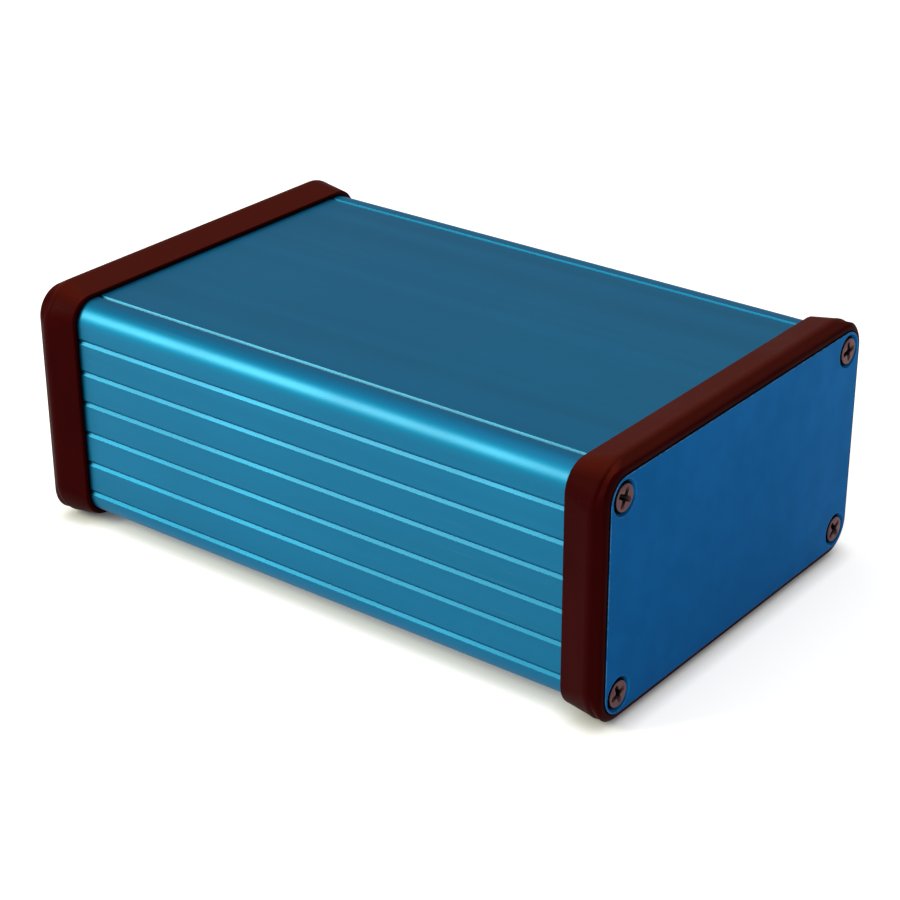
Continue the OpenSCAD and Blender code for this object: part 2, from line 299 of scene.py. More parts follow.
def place(piece, body, slot, *nodes):
    """Hangs a finished piece on its body, in the place of the plain solids that it stands for."""
    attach(piece, body)
    if nodes:
        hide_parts(*nodes)
    return piece


# ---- shader node groups ----


def new_group(name, inputs, outputs):
    """An empty node group with float inputs, given as (name, value), and named outputs."""
    group = bpy.data.node_groups.new(name, "ShaderNodeTree")
    for label, value in inputs:
        group.interface.new_socket(label, in_out="INPUT", socket_type="NodeSocketFloat").default_value = value
    for label in outputs:
        group.interface.new_socket(label, in_out="OUTPUT", socket_type="NodeSocketFloat")
    return group, group.nodes.new("NodeGroupInput"), group.nodes.new("NodeGroupOutput")


def add(tree, kind, **settings):
    """A node, with its properties or its unlinked inputs set by name."""
    node = tree.nodes.new(kind)
    for key, value in settings.items():
        if key in node.inputs:
            node.inputs[key].default_value = value
        else:
            setattr(node, key, value)
    return node


def math_node(tree, operation, first, second=0.5, clamp=False):
    """A Math node whose two inputs are sockets or plain numbers. Returns its output."""
    node = tree.nodes.new("ShaderNodeMath")
    node.operation = operation
    node.use_clamp = clamp
    for socket, value in zip(node.inputs, (first, second)):
        if isinstance(value, (int, float)):
            socket.default_value = value
        else:
            tree.links.new(value, socket)
    return node.outputs[0]


def remap(tree, value, low, high, to_low=0.0, to_high=1.0):
    """Maps low..high to to_low..to_high, smoothly and clamped."""
    node = add(tree, "ShaderNodeMapRange", interpolation_type="SMOOTHSTEP")
    tree.links.new(value, node.inputs["Value"])
    for label, number in (("From Min", low), ("From Max", high), ("To Min", to_low), ("To Max", to_high)):
        if isinstance(number, (int, float)):
            node.inputs[label].default_value = number
        else:
            tree.links.new(number, node.inputs[label])
    return node.outputs["Result"]


def stretched_place(tree, stretch, turn=(0, 0, 0)):
    """The object's own coordinates, turned, then squeezed along X so that a pattern runs long that way."""
    place_node = add(tree, "ShaderNodeTexCoord").outputs["Object"]
    turned = add(tree, "ShaderNodeMapping", Rotation=turn, Scale=(1 / stretch, 1, 1))
    tree.links.new(place_node, turned.inputs["Vector"])
    return turned.outputs["Vector"]


def noise(tree, vector, scale, detail=2.0, roughness=0.5):
    """A Noise node whose scale is a socket or a plain number. Returns its value."""
    node = add(tree, "ShaderNodeTexNoise", Detail=detail, Roughness=roughness)
    tree.links.new(vector, node.inputs["Vector"])
    if isinstance(scale, (int, float)):
        node.inputs["Scale"].default_value = scale
    else:
        tree.links.new(scale, node.inputs["Scale"])
    return node.outputs["Fac"]


def facing_up(tree, low, high, least=0.0):
    """A mask of what faces up: least where the normal's Z is low, and 1 where it is high."""
    normal = add(tree, "ShaderNodeSeparateXYZ")
    tree.links.new(add(tree, "ShaderNodeNewGeometry").outputs["Normal"], normal.inputs["Vector"])
    return remap(tree, normal.outputs["Z"], low, high, least, 1.0)


def finish_mask(group, given, out, marks):
    """Gives the group's marks out as its Mask, by its own Amount, and returns the group."""
    group.links.new(math_node(group, "MULTIPLY", marks, given.outputs["Amount"], clamp=True),
                    out.inputs["Mask"])
    return group


def make_grain():
    """Fine all-over grain, with a broad soft cloud beneath it."""
    group, given, out = new_group("Grain", [("Scale", 4000), ("Cloud Scale", 40)], ["Height", "Cloud"])
    here = stretched_place(group, 1)
    fine = noise(group, here, given.outputs["Scale"], detail=3, roughness=0.6)
    cloud = noise(group, here, given.outputs["Cloud Scale"], detail=3)
    group.links.new(remap(group, fine, 0.25, 0.75), out.inputs["Height"])
    group.links.new(remap(group, cloud, 0.3, 0.7), out.inputs["Cloud"])
    return group


def make_draw_lines():
    """Faint lines along X that a die or a rolling mill leaves."""
    group, given, out = new_group("Draw lines", [("Scale", 1500)], ["Height", "Streak"])
    long_way = stretched_place(group, 60)
    fine = noise(group, long_way, given.outputs["Scale"], detail=2)
    broad = noise(group, long_way, math_node(group, "MULTIPLY", given.outputs["Scale"], 0.12), detail=2)
    group.links.new(remap(group, fine, 0.3, 0.7), out.inputs["Height"])
    group.links.new(remap(group, broad, 0.3, 0.7), out.inputs["Streak"])
    return group


def make_scratches():
    """Short hairline scratches in a few directions."""
    group, given, out = new_group("Scratches", [("Scale", 900), ("Amount", 0.5)], ["Mask"])
    total = None
    for turn in (14, 63, -38):
        lines = noise(group, stretched_place(group, 45, (0, 0, math.radians(turn))),
                      given.outputs["Scale"], 1)
        patches = noise(group, stretched_place(group, 3, (0, 0, math.radians(turn + 20))), 55, 2)
        hair = remap(group, lines, 0.70, 0.76)
        where = remap(group, patches, 0.56, 0.66)
        marks = math_node(group, "MULTIPLY", hair, where)
        total = marks if total is None else math_node(group, "MAXIMUM", total, marks)
    return finish_mask(group, given, out, total)


def make_dust():
    """Specks of dust, mostly on what faces up."""
    group, given, out = new_group("Dust", [("Scale", 900), ("Amount", 0.5)], ["Mask"])
    cells = add(group, "ShaderNodeTexVoronoi", feature="F1")
    group.links.new(add(group, "ShaderNodeTexCoord").outputs["Object"], cells.inputs["Vector"])
    group.links.new(given.outputs["Scale"], cells.inputs["Scale"])
    separate = add(group, "ShaderNodeSeparateColor")
    group.links.new(cells.outputs["Color"], separate.inputs["Color"])
    speck = remap(group, cells.outputs["Distance"], 0.22, 0.06)
    few = remap(group, separate.outputs["Red"], 0.93, 0.97)
    marks = math_node(group, "MULTIPLY", math_node(group, "MULTIPLY", speck, few),
                      facing_up(group, -0.2, 0.9, 0.25))
    return finish_mask(group, given, out, marks)


def make_edge_wear():
    """A mask along outer edges, broken up by noise."""
    group, given, out = new_group("Edge wear", [("Radius", 0.0003), ("Amount", 0.5)], ["Mask"])
    soft = add(group, "ShaderNodeBevel", samples=4)
    group.links.new(given.outputs["Radius"], soft.inputs["Radius"])
    true_normal = add(group, "ShaderNodeNewGeometry").outputs["Normal"]
    dot = add(group, "ShaderNodeVectorMath", operation="DOT_PRODUCT")
    group.links.new(soft.outputs["Normal"], dot.inputs[0])
    group.links.new(true_normal, dot.inputs[1])
    bent = remap(group, dot.outputs["Value"], 0.995, 0.86)
    broken = remap(group, noise(group, stretched_place(group, 2), 700, 3), 0.35, 0.6, 0.3, 1.0)
    return finish_mask(group, given, out, math_node(group, "MULTIPLY", bent, broken))


def make_crevice_shade():
    """A mask for painted shade: it grows in narrow gaps and recesses, where little light reaches."""
    group, given, out = new_group("Crevice shade", [("Reach", 0.001), ("Amount", 1.0)], ["Mask"])
    open_sky = add(group, "ShaderNodeAmbientOcclusion", samples=8)
    group.links.new(given.outputs["Reach"], open_sky.inputs["Distance"])
    return finish_mask(group, given, out, remap(group, open_sky.outputs["AO"], 0.85, 0.45))


GRAIN = make_grain()
DRAW_LINES = make_draw_lines()
SCRATCHES = make_scratches()
DUST = make_dust()
EDGE_WEAR = make_edge_wear()
CREVICE_SHADE = make_crevice_shade()


# ---- materials ----


def new_material(name, **settings):
    """A material with one Principled shader. Settings are the shader's own sockets."""
    material = bpy.data.materials.new(name)
    material.use_nodes = True
    tree = material.node_tree
    shader = next(n for n in tree.nodes if n.type == "BSDF_PRINCIPLED")
    for key, value in settings.items():
        shader.inputs[key.replace("_", " ")].default_value = value
    return material, tree, shader


def use(tree, group, **values):
    """Places a node group in a material with its own values."""
    node = tree.nodes.new("ShaderNodeGroup")
    node.node_tree = group
    for key, value in values.items():
        node.inputs[key.replace("_", " ")].default_value = value
    return node.outputs


def mix(tree, share, first, second):
    """A colour between two, each a socket or (r, g, b)."""
    node = add(tree, "ShaderNodeMix", data_type="RGBA")
    tree.links.new(share, node.inputs["Factor"])
    for socket, value in zip((node.inputs[6], node.inputs[7]), (first, second)):
        if isinstance(value, tuple):
            socket.default_value = (*value, 1)
        else:
            tree.links.new(value, socket)
    return node.outputs[2]


def bump(tree, shader, height, strength, distance):
    """Adds fine relief to a shader, on top of any that it has."""
    node = add(tree, "ShaderNodeBump", Strength=strength, Distance=distance)
    tree.links.new(height, node.inputs["Height"])
    if shader.inputs["Normal"].is_linked:
        tree.links.new(shader.inputs["Normal"].links[0].from_socket, node.inputs["Normal"])
    tree.links.new(node.outputs["Normal"], shader.inputs["Normal"])


def anodised(name, deep, light, roughness, lines, scratches, coat, edge_wear_and_highlight_tone, edge_wear_and_highlight_amount):
    """Blue anodised aluminium: coloured metal with a satin etch, draw lines, hairlines, dust, paler edges that
    are partly wear and partly a painted highlight, and painted shade in its crevices.
    """
    material, tree, shader = new_material(
        name, Metallic=1.0, Coat_Weight=coat, Coat_Roughness=0.3, Specular_Tint=(0.6, 0.8, 1.0, 1))
    grain = use(tree, GRAIN, Scale=5200, Cloud_Scale=26)
    drawn = use(tree, DRAW_LINES, Scale=1700)
    marks = use(tree, SCRATCHES, Scale=1100, Amount=scratches)
    worn = use(tree, EDGE_WEAR, Radius=0.2 * MM, Amount=edge_wear_and_highlight_amount)
    dust = use(tree, DUST, Scale=750, Amount=0.12)
    tone = mix(tree, drawn["Streak"], deep, light)
    tone = mix(tree, math_node(tree, "MULTIPLY", grain["Cloud"], 0.35), tone, deep)
    tone = mix(tree, marks["Mask"], tone, (0.06, 0.25, 0.38))
    # Paler edges: wear on the case, and on the sheet a painted highlight along its rounded rim.
    tone = mix(tree, worn["Mask"], tone, edge_wear_and_highlight_tone)
    tone = mix(tree, dust["Mask"], tone, (0.3, 0.4, 0.45))
    # Painted shade: near-black in the bezel joint, the grooves and the countersinks, where occlusion finds
    # them.
    tone = mix(tree, use(tree, CREVICE_SHADE, Reach=1.0 * MM, Amount=0.85)["Mask"], tone, (0.001, 0.01, 0.02))
    tree.links.new(tone, shader.inputs["Base Color"])
    rough = remap(tree, grain["Cloud"], 0, 1, roughness - 0.03, roughness + 0.03)
    rough = math_node(tree, "ADD", rough, math_node(tree, "MULTIPLY", dust["Mask"], 0.4))
    tree.links.new(rough, shader.inputs["Roughness"])
    bump(tree, shader, drawn["Height"], lines, 0.01 * MM)
    bump(tree, shader, grain["Height"], 0.10, 0.01 * MM)
    return material


def moulded(name, base, pale, roughness, grain_scale, grain_depth, wear=0.3, dust_amount=0.4, lit_top_tone=None,
            **settings):
    """Moulded plastic: an even fine texture, paler where handled, with a painted lighter top where a top tone
    is given, a little dust and painted shade in its recesses.
    """
    material, tree, shader = new_material(name, **settings)
    grain = use(tree, GRAIN, Scale=grain_scale, Cloud_Scale=60)
    worn = use(tree, EDGE_WEAR, Radius=0.35 * MM, Amount=wear)
    dust = use(tree, DUST, Scale=1100, Amount=dust_amount)
    tone = mix(tree, grain["Cloud"], base, tuple(0.8 * c for c in base))
    tone = mix(tree, worn["Mask"], tone, pale)
    # Painted light: faces turned up are lightened, as the light from above falls on them.
    if lit_top_tone:
        tone = mix(tree, facing_up(tree, 0.6, 0.98), tone, lit_top_tone)
    tone = mix(tree, dust["Mask"], tone, (0.5, 0.47, 0.45))
    # Painted shade: darkened in recesses and gaps, where occlusion finds them.
    tone = mix(tree, use(tree, CREVICE_SHADE, Reach=1.6 * MM, Amount=0.8)["Mask"], tone,
               tuple(0.12 * c for c in base))
    tree.links.new(tone, shader.inputs["Base Color"])
    tree.links.new(remap(tree, grain["Cloud"], 0, 1, roughness - 0.04, roughness + 0.05),
                   shader.inputs["Roughness"])
    bump(tree, shader, grain["Height"], grain_depth, 0.02 * MM)
    return material


def metal(name, base, worn_tone, roughness, lines=0.1, metallic=1.0, wear=0.4, recess_shade=0.0):
    """Bare, plated or browned metal with fine lines, rubbed edges and, where given, painted shade darkening its
    recesses.
    """
    material, tree, shader = new_material(name, Metallic=metallic)
    grain = use(tree, GRAIN, Scale=3500, Cloud_Scale=220)
    drawn = use(tree, DRAW_LINES, Scale=2600)
    worn = use(tree, EDGE_WEAR, Radius=0.12 * MM, Amount=wear)
    tone = mix(tree, grain["Cloud"], base, tuple(0.72 * c for c in base))
    tone = mix(tree, worn["Mask"], tone, worn_tone)
    # Painted shade: near-black in recesses, such as the screws' cross recesses.
    if recess_shade:
        tone = mix(tree, use(tree, CREVICE_SHADE, Reach=2.2 * MM, Amount=recess_shade)["Mask"], tone,
                   (0.004, 0.002, 0.002))
    tree.links.new(tone, shader.inputs["Base Color"])
    tree.links.new(remap(tree, grain["Cloud"], 0, 1, roughness - 0.05, roughness + 0.08),
                   shader.inputs["Roughness"])
    bump(tree, shader, drawn["Height"], lines, 0.01 * MM)
    bump(tree, shader, grain["Height"], 0.12, 0.01 * MM)
    return material


BLUE_CASE = anodised("Blue anodised extrusion", (0.002, 0.16, 0.325), (0.003, 0.18, 0.365), 0.52, 0.06,
                     0.12, 0.26,
                     (0.04, 0.25, 0.42), 0.4)
# The sheet's pale edge tone (0.2, 0.5, 0.8) paints the highlight that its rounded rim catches.
BLUE_SHEET = anodised("Blue anodised sheet", (0.001, 0.092, 0.285), (0.002, 0.106, 0.325), 0.42, 0.08, 0.1,
                      0.0,
                      (0.2, 0.5, 0.8), 0.9)
# Its last tone, (0.055, 0.0055, 0.0026), paints the bezel's tops lighter, where the light from above falls.
MAROON = moulded("Maroon moulded plastic", (0.029, 0.001, 0.0012), (0.06, 0.006, 0.004), 0.44, 2600, 0.15,
                 0.3, 0.02,
                 (0.055, 0.0055, 0.0026), Specular_IOR_Level=0.02, Specular_Tint=(1.0, 0.3, 0.25, 1))
# The last number paints shade into the screws' cross recesses and countersinks.
BROWNED = metal("Browned steel", (0.16, 0.06, 0.07), (0.42, 0.24, 0.24), 0.42, 0.1, 0.7, 0.5, 1.0)
GREEN = moulded("Green solder mask", (0.004, 0.075, 0.022), (0.06, 0.16, 0.06), 0.3, 900, 0.05, 0.3, 0.15)
TRACK = moulded("Mask over copper", (0.02, 0.18, 0.05), (0.04, 0.24, 0.08), 0.28, 900, 0.05, 0.2, 0.1)
WHITE = moulded("White print", (0.72, 0.72, 0.7), (0.8, 0.8, 0.78), 0.55, 3000, 0.1, 0.1, 0.1)
CHIP = moulded("Chip resin", (0.014, 0.014, 0.015), (0.05, 0.05, 0.05), 0.5, 4200, 0.2, 0.2, 0.15)
BLACK = moulded("Black moulding", (0.01, 0.01, 0.011), (0.04, 0.04, 0.04), 0.4, 3000, 0.12, 0.2, 0.15)
CREAM = moulded("Cream moulding", (0.62, 0.56, 0.42), (0.75, 0.7, 0.58), 0.42, 3000, 0.1, 0.2, 0.1)
CERAMIC = moulded("Tan ceramic", (0.36, 0.22, 0.12), (0.5, 0.36, 0.22), 0.4, 3000, 0.05, 0.2, 0.1)
PAD = moulded("Thermal pad", (0.25, 0.3, 0.38), (0.35, 0.4, 0.47), 0.75, 1500, 0.3, 0.2, 0.1)
LENS = moulded("Light lens", (0.55, 0.75, 0.55), (0.7, 0.85, 0.7), 0.25, 3000, 0.03, 0.1, 0.1)
FUSE = moulded("Fuse body", (0.07, 0.14, 0.07), (0.15, 0.25, 0.15), 0.45, 3000, 0.1, 0.2, 0.1)
INDUCTOR = moulded("Pressed iron powder", (0.035, 0.035, 0.037), (0.09, 0.09, 0.09), 0.6, 1800, 0.5, 0.3,
                   0.15)
TIN = metal("Tin plate", (0.55, 0.56, 0.57), (0.7, 0.7, 0.7), 0.28, 0.2)
GOLD = metal("Gold plate", (0.72, 0.46, 0.13), (0.8, 0.6, 0.3), 0.22, 0.05)
CAN = metal("Capacitor can", (0.62, 0.63, 0.64), (0.75, 0.75, 0.75), 0.3, 0.15)
BLACK_METAL = metal("Black anodised", (0.02, 0.02, 0.022), (0.12, 0.12, 0.13), 0.45, 0.1, 0.9)


# ---- case and cover ----


def make_case():
    """The extruded case with its four screw bores."""
    bm = bmesh.new()
    bores = [hole_wall(circle(y, z, BORE_R, 28), -HALF_LEN, HALF_LEN) for y, z in SCREW_PLACES]
    solid_of_walls(bm, [rounded_wall(case_outline(), -HALF_LEN, HALF_LEN, CUT_EDGE)] + bores)
    place(finish_mesh(bm, "grooved_case", BLUE_CASE), "case", "anodised_case", "case_body")


def make_cover():
    """The plate that slides in between the case's lips."""
    bm = bmesh.new()
    solid_of_walls(bm, [rounded_wall(cover_outline(), -HALF_LEN, HALF_LEN, CUT_EDGE)])
    place(finish_mesh(bm, "sliding_cover", BLUE_CASE), "cover", "anodised_case", "cover_plate")


# ---- ends ----


def bezel_rings():
    """Rings of the bezel's skin, from its pocket round the lip, ridge and rim to the panel's recess."""
    pocket = (FIT_GAP, FIT_GAP, EDGE_R + FIT_GAP)
    lip = (1.0 * MM, 0.85 * MM, 5.0 * MM)
    ridge = (BEZEL_OUT, BEZEL_UP, 7.8 * MM)
    rim = (BEZEL_OUT - 0.95 * MM, BEZEL_UP - 1.2 * MM, 5.2 * MM)
    recess = (PANEL_HALF_Y + FIT_GAP - HALF_W, PANEL_HALF_Z + FIT_GAP - HALF_H, PANEL_R + FIT_GAP)
    half_land = 0.4 * MM
    corners = [
        (POCKET_X, pocket, 0),
        (BEZEL_IN, pocket, 0.12 * MM),
        (BEZEL_IN, lip, 0.3 * MM),
        (RIDGE_X - half_land, ridge, 0.98 * half_land),
        (RIDGE_X + half_land, ridge, 0.98 * half_land),
        (BEZEL_END, rim, 0.85 * MM),
        (BEZEL_END, recess, 0.12 * MM),
        (PANEL_IN, recess, 0),
    ]
    points = [Vector((x, *shape)) for x, shape, rounding in corners]
    path = [points[0]]
    for before, here, after, (x, shape, rounding) in zip(points, points[1:], points[2:], corners[1:]):
        start = here + (before - here).normalized() * rounding
        end = here + (after - here).normalized() * rounding
        for i in range(6):
            t = i / 5
            path.append(start.lerp(here, t).lerp(here.lerp(end, t), t))
    path.append(points[-1])
    return [(p[0], rounded_rect(HALF_W + p[1], HALF_H + p[2], p[3], steps=18)) for p in path]


def window_outline():
    """The opening behind the panel: a wide low box and a narrower tall one, joined."""
    wide, tall = (34.2 * MM, 13.0 * MM), (30.5 * MM, 18.6 * MM)
    right = [(wide[0], -wide[1]), wide, (tall[0], wide[1]), tall]
    points = right + [(-y, z) for y, z in reversed(right[1:])]
    points += [(-y, -z) for y, z in right[2:]] + [(y, -z) for y, z in reversed(right[2:])]
    return [(y, MID_Z + z) for y, z in points]


def make_bezel(name, body, node, flip):
    """An end frame with its window and screw holes. flip puts it at the rear."""
    bm = bmesh.new()
    walls = [bezel_rings()]
    holes = [window_outline()] + [circle(y, z, CLEAR_R) for y, z in SCREW_PLACES]
    for points in holes:
        walls.append([(POCKET_X, list(reversed(points))), (PANEL_IN, list(reversed(points)))])
    solid_of_walls(bm, walls, flip)
    place(finish_mesh(bm, name, MAROON, 40), body, "bezel_plastic", node)


def sunk_hole(y, z):
    """A countersunk screw hole through a panel, from its face to its back."""
    edge = 0.06 * MM
    depth = SINK_R - CLEAR_R
    rings = [
        (PANEL_FACE, circle(y, z, SINK_R + edge, FINE_ROUND)),
        (PANEL_FACE - edge, circle(y, z, SINK_R - edge / 2, FINE_ROUND)),
        (PANEL_FACE - depth, circle(y, z, CLEAR_R, FINE_ROUND)),
        (PANEL_IN, circle(y, z, CLEAR_R, FINE_ROUND)),
    ]
    return rings[::-1]


def port_holes():
    """Openings in the rear panel, a little larger than each port behind them."""
    gap = 0.3 * MM
    holes = []
    for node in ("video_shell", "usb_shell", "network_shell"):
        holes.append(box_outline(*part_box(node), 0.35 * MM, -gap, 4))
    low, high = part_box("memory_card")
    middle = ((high.y + low.y) / 2, (high.z + low.z) / 2)
    holes.append(rounded_rect((high.y - low.y) / 2 + 0.8 * MM, (high.z - low.z) / 2 + gap, 0.3 * MM,
                              *middle, 4))
    low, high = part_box("power_pin")
    holes.append(circle((high.y + low.y) / 2, (high.z + low.z) / 2, 4.3 * MM, FINE_ROUND))
    return holes


def make_panel(name, body, node, flip, holes=()):
    """An end plate with countersunk screw holes and any port openings."""
    bm = bmesh.new()
    outline = rounded_rect(PANEL_HALF_Y, PANEL_HALF_Z, PANEL_R, steps=18)
    walls = [rounded_wall(outline, PANEL_IN, PANEL_FACE, 0.14 * MM, 3)]
    walls += [sunk_hole(y, z) for y, z in SCREW_PLACES]
    walls += [hole_wall(points, PANEL_IN, PANEL_FACE) for points in holes]
    solid_of_walls(bm, walls, flip)
    place(finish_mesh(bm, name, BLUE_SHEET), body, "anodised_case", node)


# ---- screws ----

HEAD_R = 2.4 * MM
HEAD_GAP = 0.07 * MM
SHOULDER = SINK_R - HEAD_GAP - HEAD_R
SHANK_R = 1.48 * MM
ROOT_R = 1.22 * MM
THREAD_PITCH = 0.5 * MM
SCREW_LENGTH = 11.0 * MM


def cross_outline(y, z, reach, half_width, turn, hub):
    """A cross recess: four arms with rounded ends, and a filleted hub between them."""
    points = []
    for arm in range(4):
        for across, along in ((-0.75, 0.93), (-0.4, 1.0), (0.4, 1.0), (0.75, 0.93), (1.0, 0.8)):
            points.append((90 * arm, along * reach, across * half_width))
        points.append((90 * arm, hub + half_width, half_width))
        points.append((90 * arm + 45, 1.25 * (hub + half_width) * 0.74, 0))
        points.append((90 * arm + 90, hub + half_width, -half_width))
        points.append((90 * arm + 90, 0.8 * reach, -half_width))
    placed = []
    for angle, along, across in points:
        a = math.radians(angle + turn)
        placed.append((
            y + along * math.cos(a) - across * math.sin(a),
            z + along * math.sin(a) + across * math.cos(a),
        ))
    return placed


def threaded_ring(y, z, x, steps=24):
    """One ring of the screw's thread, whose crest moves round as x goes on."""
    points = []
    for i in range(steps):
        turn = i / steps
        phase = (x / THREAD_PITCH - turn) % 1
        crest = max(0.0, 1 - abs(phase - 0.5) / 0.42)
        radius = ROOT_R + (SHANK_R - ROOT_R) * crest
        points.append((y + radius * math.cos(math.tau * turn), z + radius * math.sin(math.tau * turn)))
    return points


def add_screw(bm, y, z, turn, flip):
    """A countersunk screw: threaded shank, cone, flat face and cross recess."""
    tip = PANEL_FACE - SCREW_LENGTH
    cone_end = PANEL_FACE - (SINK_R - HEAD_GAP - SHANK_R)
    under_head = cone_end - 0.3 * MM
    rings = [(tip, circle(y, z, 0.85 * MM, 24)), (tip + 0.5 * MM, circle(y, z, ROOT_R, 24))]
    count = int((under_head - tip - 0.7 * MM) / (THREAD_PITCH / 6))
    for i in range(count):
        x = tip + 0.6 * MM + i * THREAD_PITCH / 6
        rings.append((x, threaded_ring(y, z, x)))
    rings.append((under_head, circle(y, z, ROOT_R, 24)))
    first, last = wall(bm, rings, flip)
    cap(bm, [first])
    head = [
        (under_head, circle(y, z, ROOT_R, ROUND)),
        (under_head + 0.1 * MM, circle(y, z, SHANK_R, ROUND)),
        (cone_end, circle(y, z, SHANK_R, ROUND)),
        (PANEL_FACE - SHOULDER - 0.04 * MM, circle(y, z, HEAD_R - 0.04 * MM, ROUND)),
        (PANEL_FACE - SHOULDER + 0.04 * MM, circle(y, z, HEAD_R, ROUND)),
        (PANEL_FACE - 0.14 * MM, circle(y, z, HEAD_R, ROUND)),
        (PANEL_FACE - 0.04 * MM, circle(y, z, HEAD_R - 0.05 * MM, ROUND)),
        (PANEL_FACE, circle(y, z, HEAD_R - 0.15 * MM, ROUND)),
    ]
    neck, face = wall(bm, head, flip)
    cap(bm, [last, neck])
    recess = [
        (PANEL_FACE, cross_outline(y, z, 1.95 * MM, 0.54 * MM, turn, 0.36 * MM)),
        (PANEL_FACE - 0.07 * MM, cross_outline(y, z, 1.87 * MM, 0.48 * MM, turn, 0.32 * MM)),
        (PANEL_FACE - 1.0 * MM, cross_outline(y, z, 1.25 * MM, 0.34 * MM, turn, 0.2 * MM)),
        (PANEL_FACE - 1.4 * MM, cross_outline(y, z, 0.5 * MM, 0.14 * MM, turn, 0.08 * MM)),
    ]
    mouth, bottom = wall(bm, recess, flip)
    cap(bm, [face, mouth])
    cap(bm, [bottom])


def make_screws(name, body, node, flip, turns):
    """Four screws at one end, each cross turned by its own angle."""
    bm = bmesh.new()
    for (y, z), turn in zip(SCREW_PLACES, turns):
        add_screw(bm, y, z, turn, flip)
    place(finish_mesh(bm, name, BROWNED, 30), body, "screw_steel", node)


make_case()
make_cover()
make_bezel("front_bezel_shell", "front_bezel", "front_bezel", False)
make_bezel("rear_bezel_shell", "rear_bezel", "rear_bezel", True)
make_panel("plain_panel", "front_panel", "front_panel", False)
make_panel("port_panel", "rear_panel", "rear_panel", True, port_holes())
make_screws("plain_panel_screws", "front_screws", "front_screws", False, (20, 62, 38, 8))
make_screws("port_panel_screws", "rear_screws", "rear_screws", True, (15, 40, 74, 55))


# ---- board: helpers ----


def tower(bm, walls, axes=(1, 2, 0)):
    """Like solid_of_walls, but it stands up: rings are (z, X-Y outline). Other axes turn it otherwise."""
    before = set(bm.verts)
    solid_of_walls(bm, walls)
    for vertex in bm.verts:
        if vertex not in before:
            vertex.co = [vertex.co[axis] for axis in axes]


def add_plate(bm, outline, y, width):
    """A flat shape in the X-Z plane, given a width along Y."""
    points = [(z, x) for x, z in outline]
    tower(bm, [[(y - width / 2, points), (y + width / 2, points)]], (2, 0, 1))


def turned(bm, x, y, base, profile, steps=32):
    """A round piece that stands at a height, from rings of (height, radius) in mm."""
    tower(bm, [[(base + height * MM, circle(x, y, radius * MM, steps)) for height, radius in profile]])


def add_open_block(bm, low, high, mouth, end, edge, hole, back_edge):
    """A block with a hole in it that runs from its mouth to end, where its solid back begins."""
    block = rectangle(low.y, high.y, low.z, high.z)
    solid_of_walls(bm, [[(mouth, inset(block, edge)), (mouth + edge, block), (end, block)], hole])
    add_block(bm, (end, low.y, low.z), high, back_edge)


SUNK = 0.02 * MM


def ribbon(bm, points, width, z, thickness=0.03 * MM):
    """A thin raised line of even width along points in the X-Y plane."""
    for start, end in zip(points, points[1:]):
        a, b = Vector(start), Vector(end)
        if (b - a).length < width / 4:
            continue
        along = (b - a).normalized() * width / 2
        across = Vector((-along.y, along.x))
        corners = [a - along - across, b + along - across, b + along + across, a - along + across]
        tower(bm, [[(z - SUNK, corners), (z + thickness, corners)]])


def node_middle(node):
    """A plain solid's low corner, high corner and middle."""
    low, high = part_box(node)
    return low, high, (low + high) / 2


def block_piece(name, material, slot, edge, *nodes):
    """One piece made of a block with rounded edges for each node."""
    bm = bmesh.new()
    for node in nodes:
        add_block(bm, *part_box(node), edge)
    place(finish_mesh(bm, name, material, 40), "board", slot, *nodes)


def extra_piece(bm, name, material, slot, *nodes):
    """A finished piece that rides on the board, with or without a plain solid to stand for."""
    place(finish_mesh(bm, name, material, 40), "board", slot, *nodes)


# ---- board: laminate, tracks and print ----

BOARD_UNDER = board_low.z
PLAN = (0, 1)
CHIPS = ["memory_chip_a", "memory_chip_b", "storage_chip", "power_controller", "network_controller",
         "usb_controller", "processor"]
TALL_NODES = CHIPS + [
    "heat_sink", "power_inductor", "power_capacitors", "input_fuse", "network_shell", "usb_shell",
    "video_shell", "power_jack", "header_base", "display_connector", "camera_connector", "clock_crystal",
    "status_lights"]


def make_board():
    """The laminate itself, with its edges just broken."""
    bm = bmesh.new()
    outline = rectangle(board_low.y, board_high.y, board_low.z, board_high.z)
    solid_of_walls(bm, [rounded_wall(outline, board_low.x, board_high.x, 0.12 * MM)])
    extra_piece(bm, "green_board", GREEN, "board_laminate", "circuit_board")


def bus(bm, start, end, count, pitch):
    """Side-by-side tracks from start to end along X, with a 45 degree jog in the middle."""
    (x0, y0), (x1, y1) = start, end
    way = math.copysign(1, x1 - x0)
    jog = min(abs(y1 - y0), 0.8 * abs(x1 - x0))
    y1 = y0 + math.copysign(jog, y1 - y0)
    for i in range(count):
        side = (i - (count - 1) / 2) * pitch
        mid = (x0 + x1 - way * jog) / 2
        ribbon(bm, [(x0, y0 + side), (mid, y0 + side), (mid + way * jog, y1 + side), (x1, y1 + side)],
               0.16 * MM,
               BOARD_TOP)


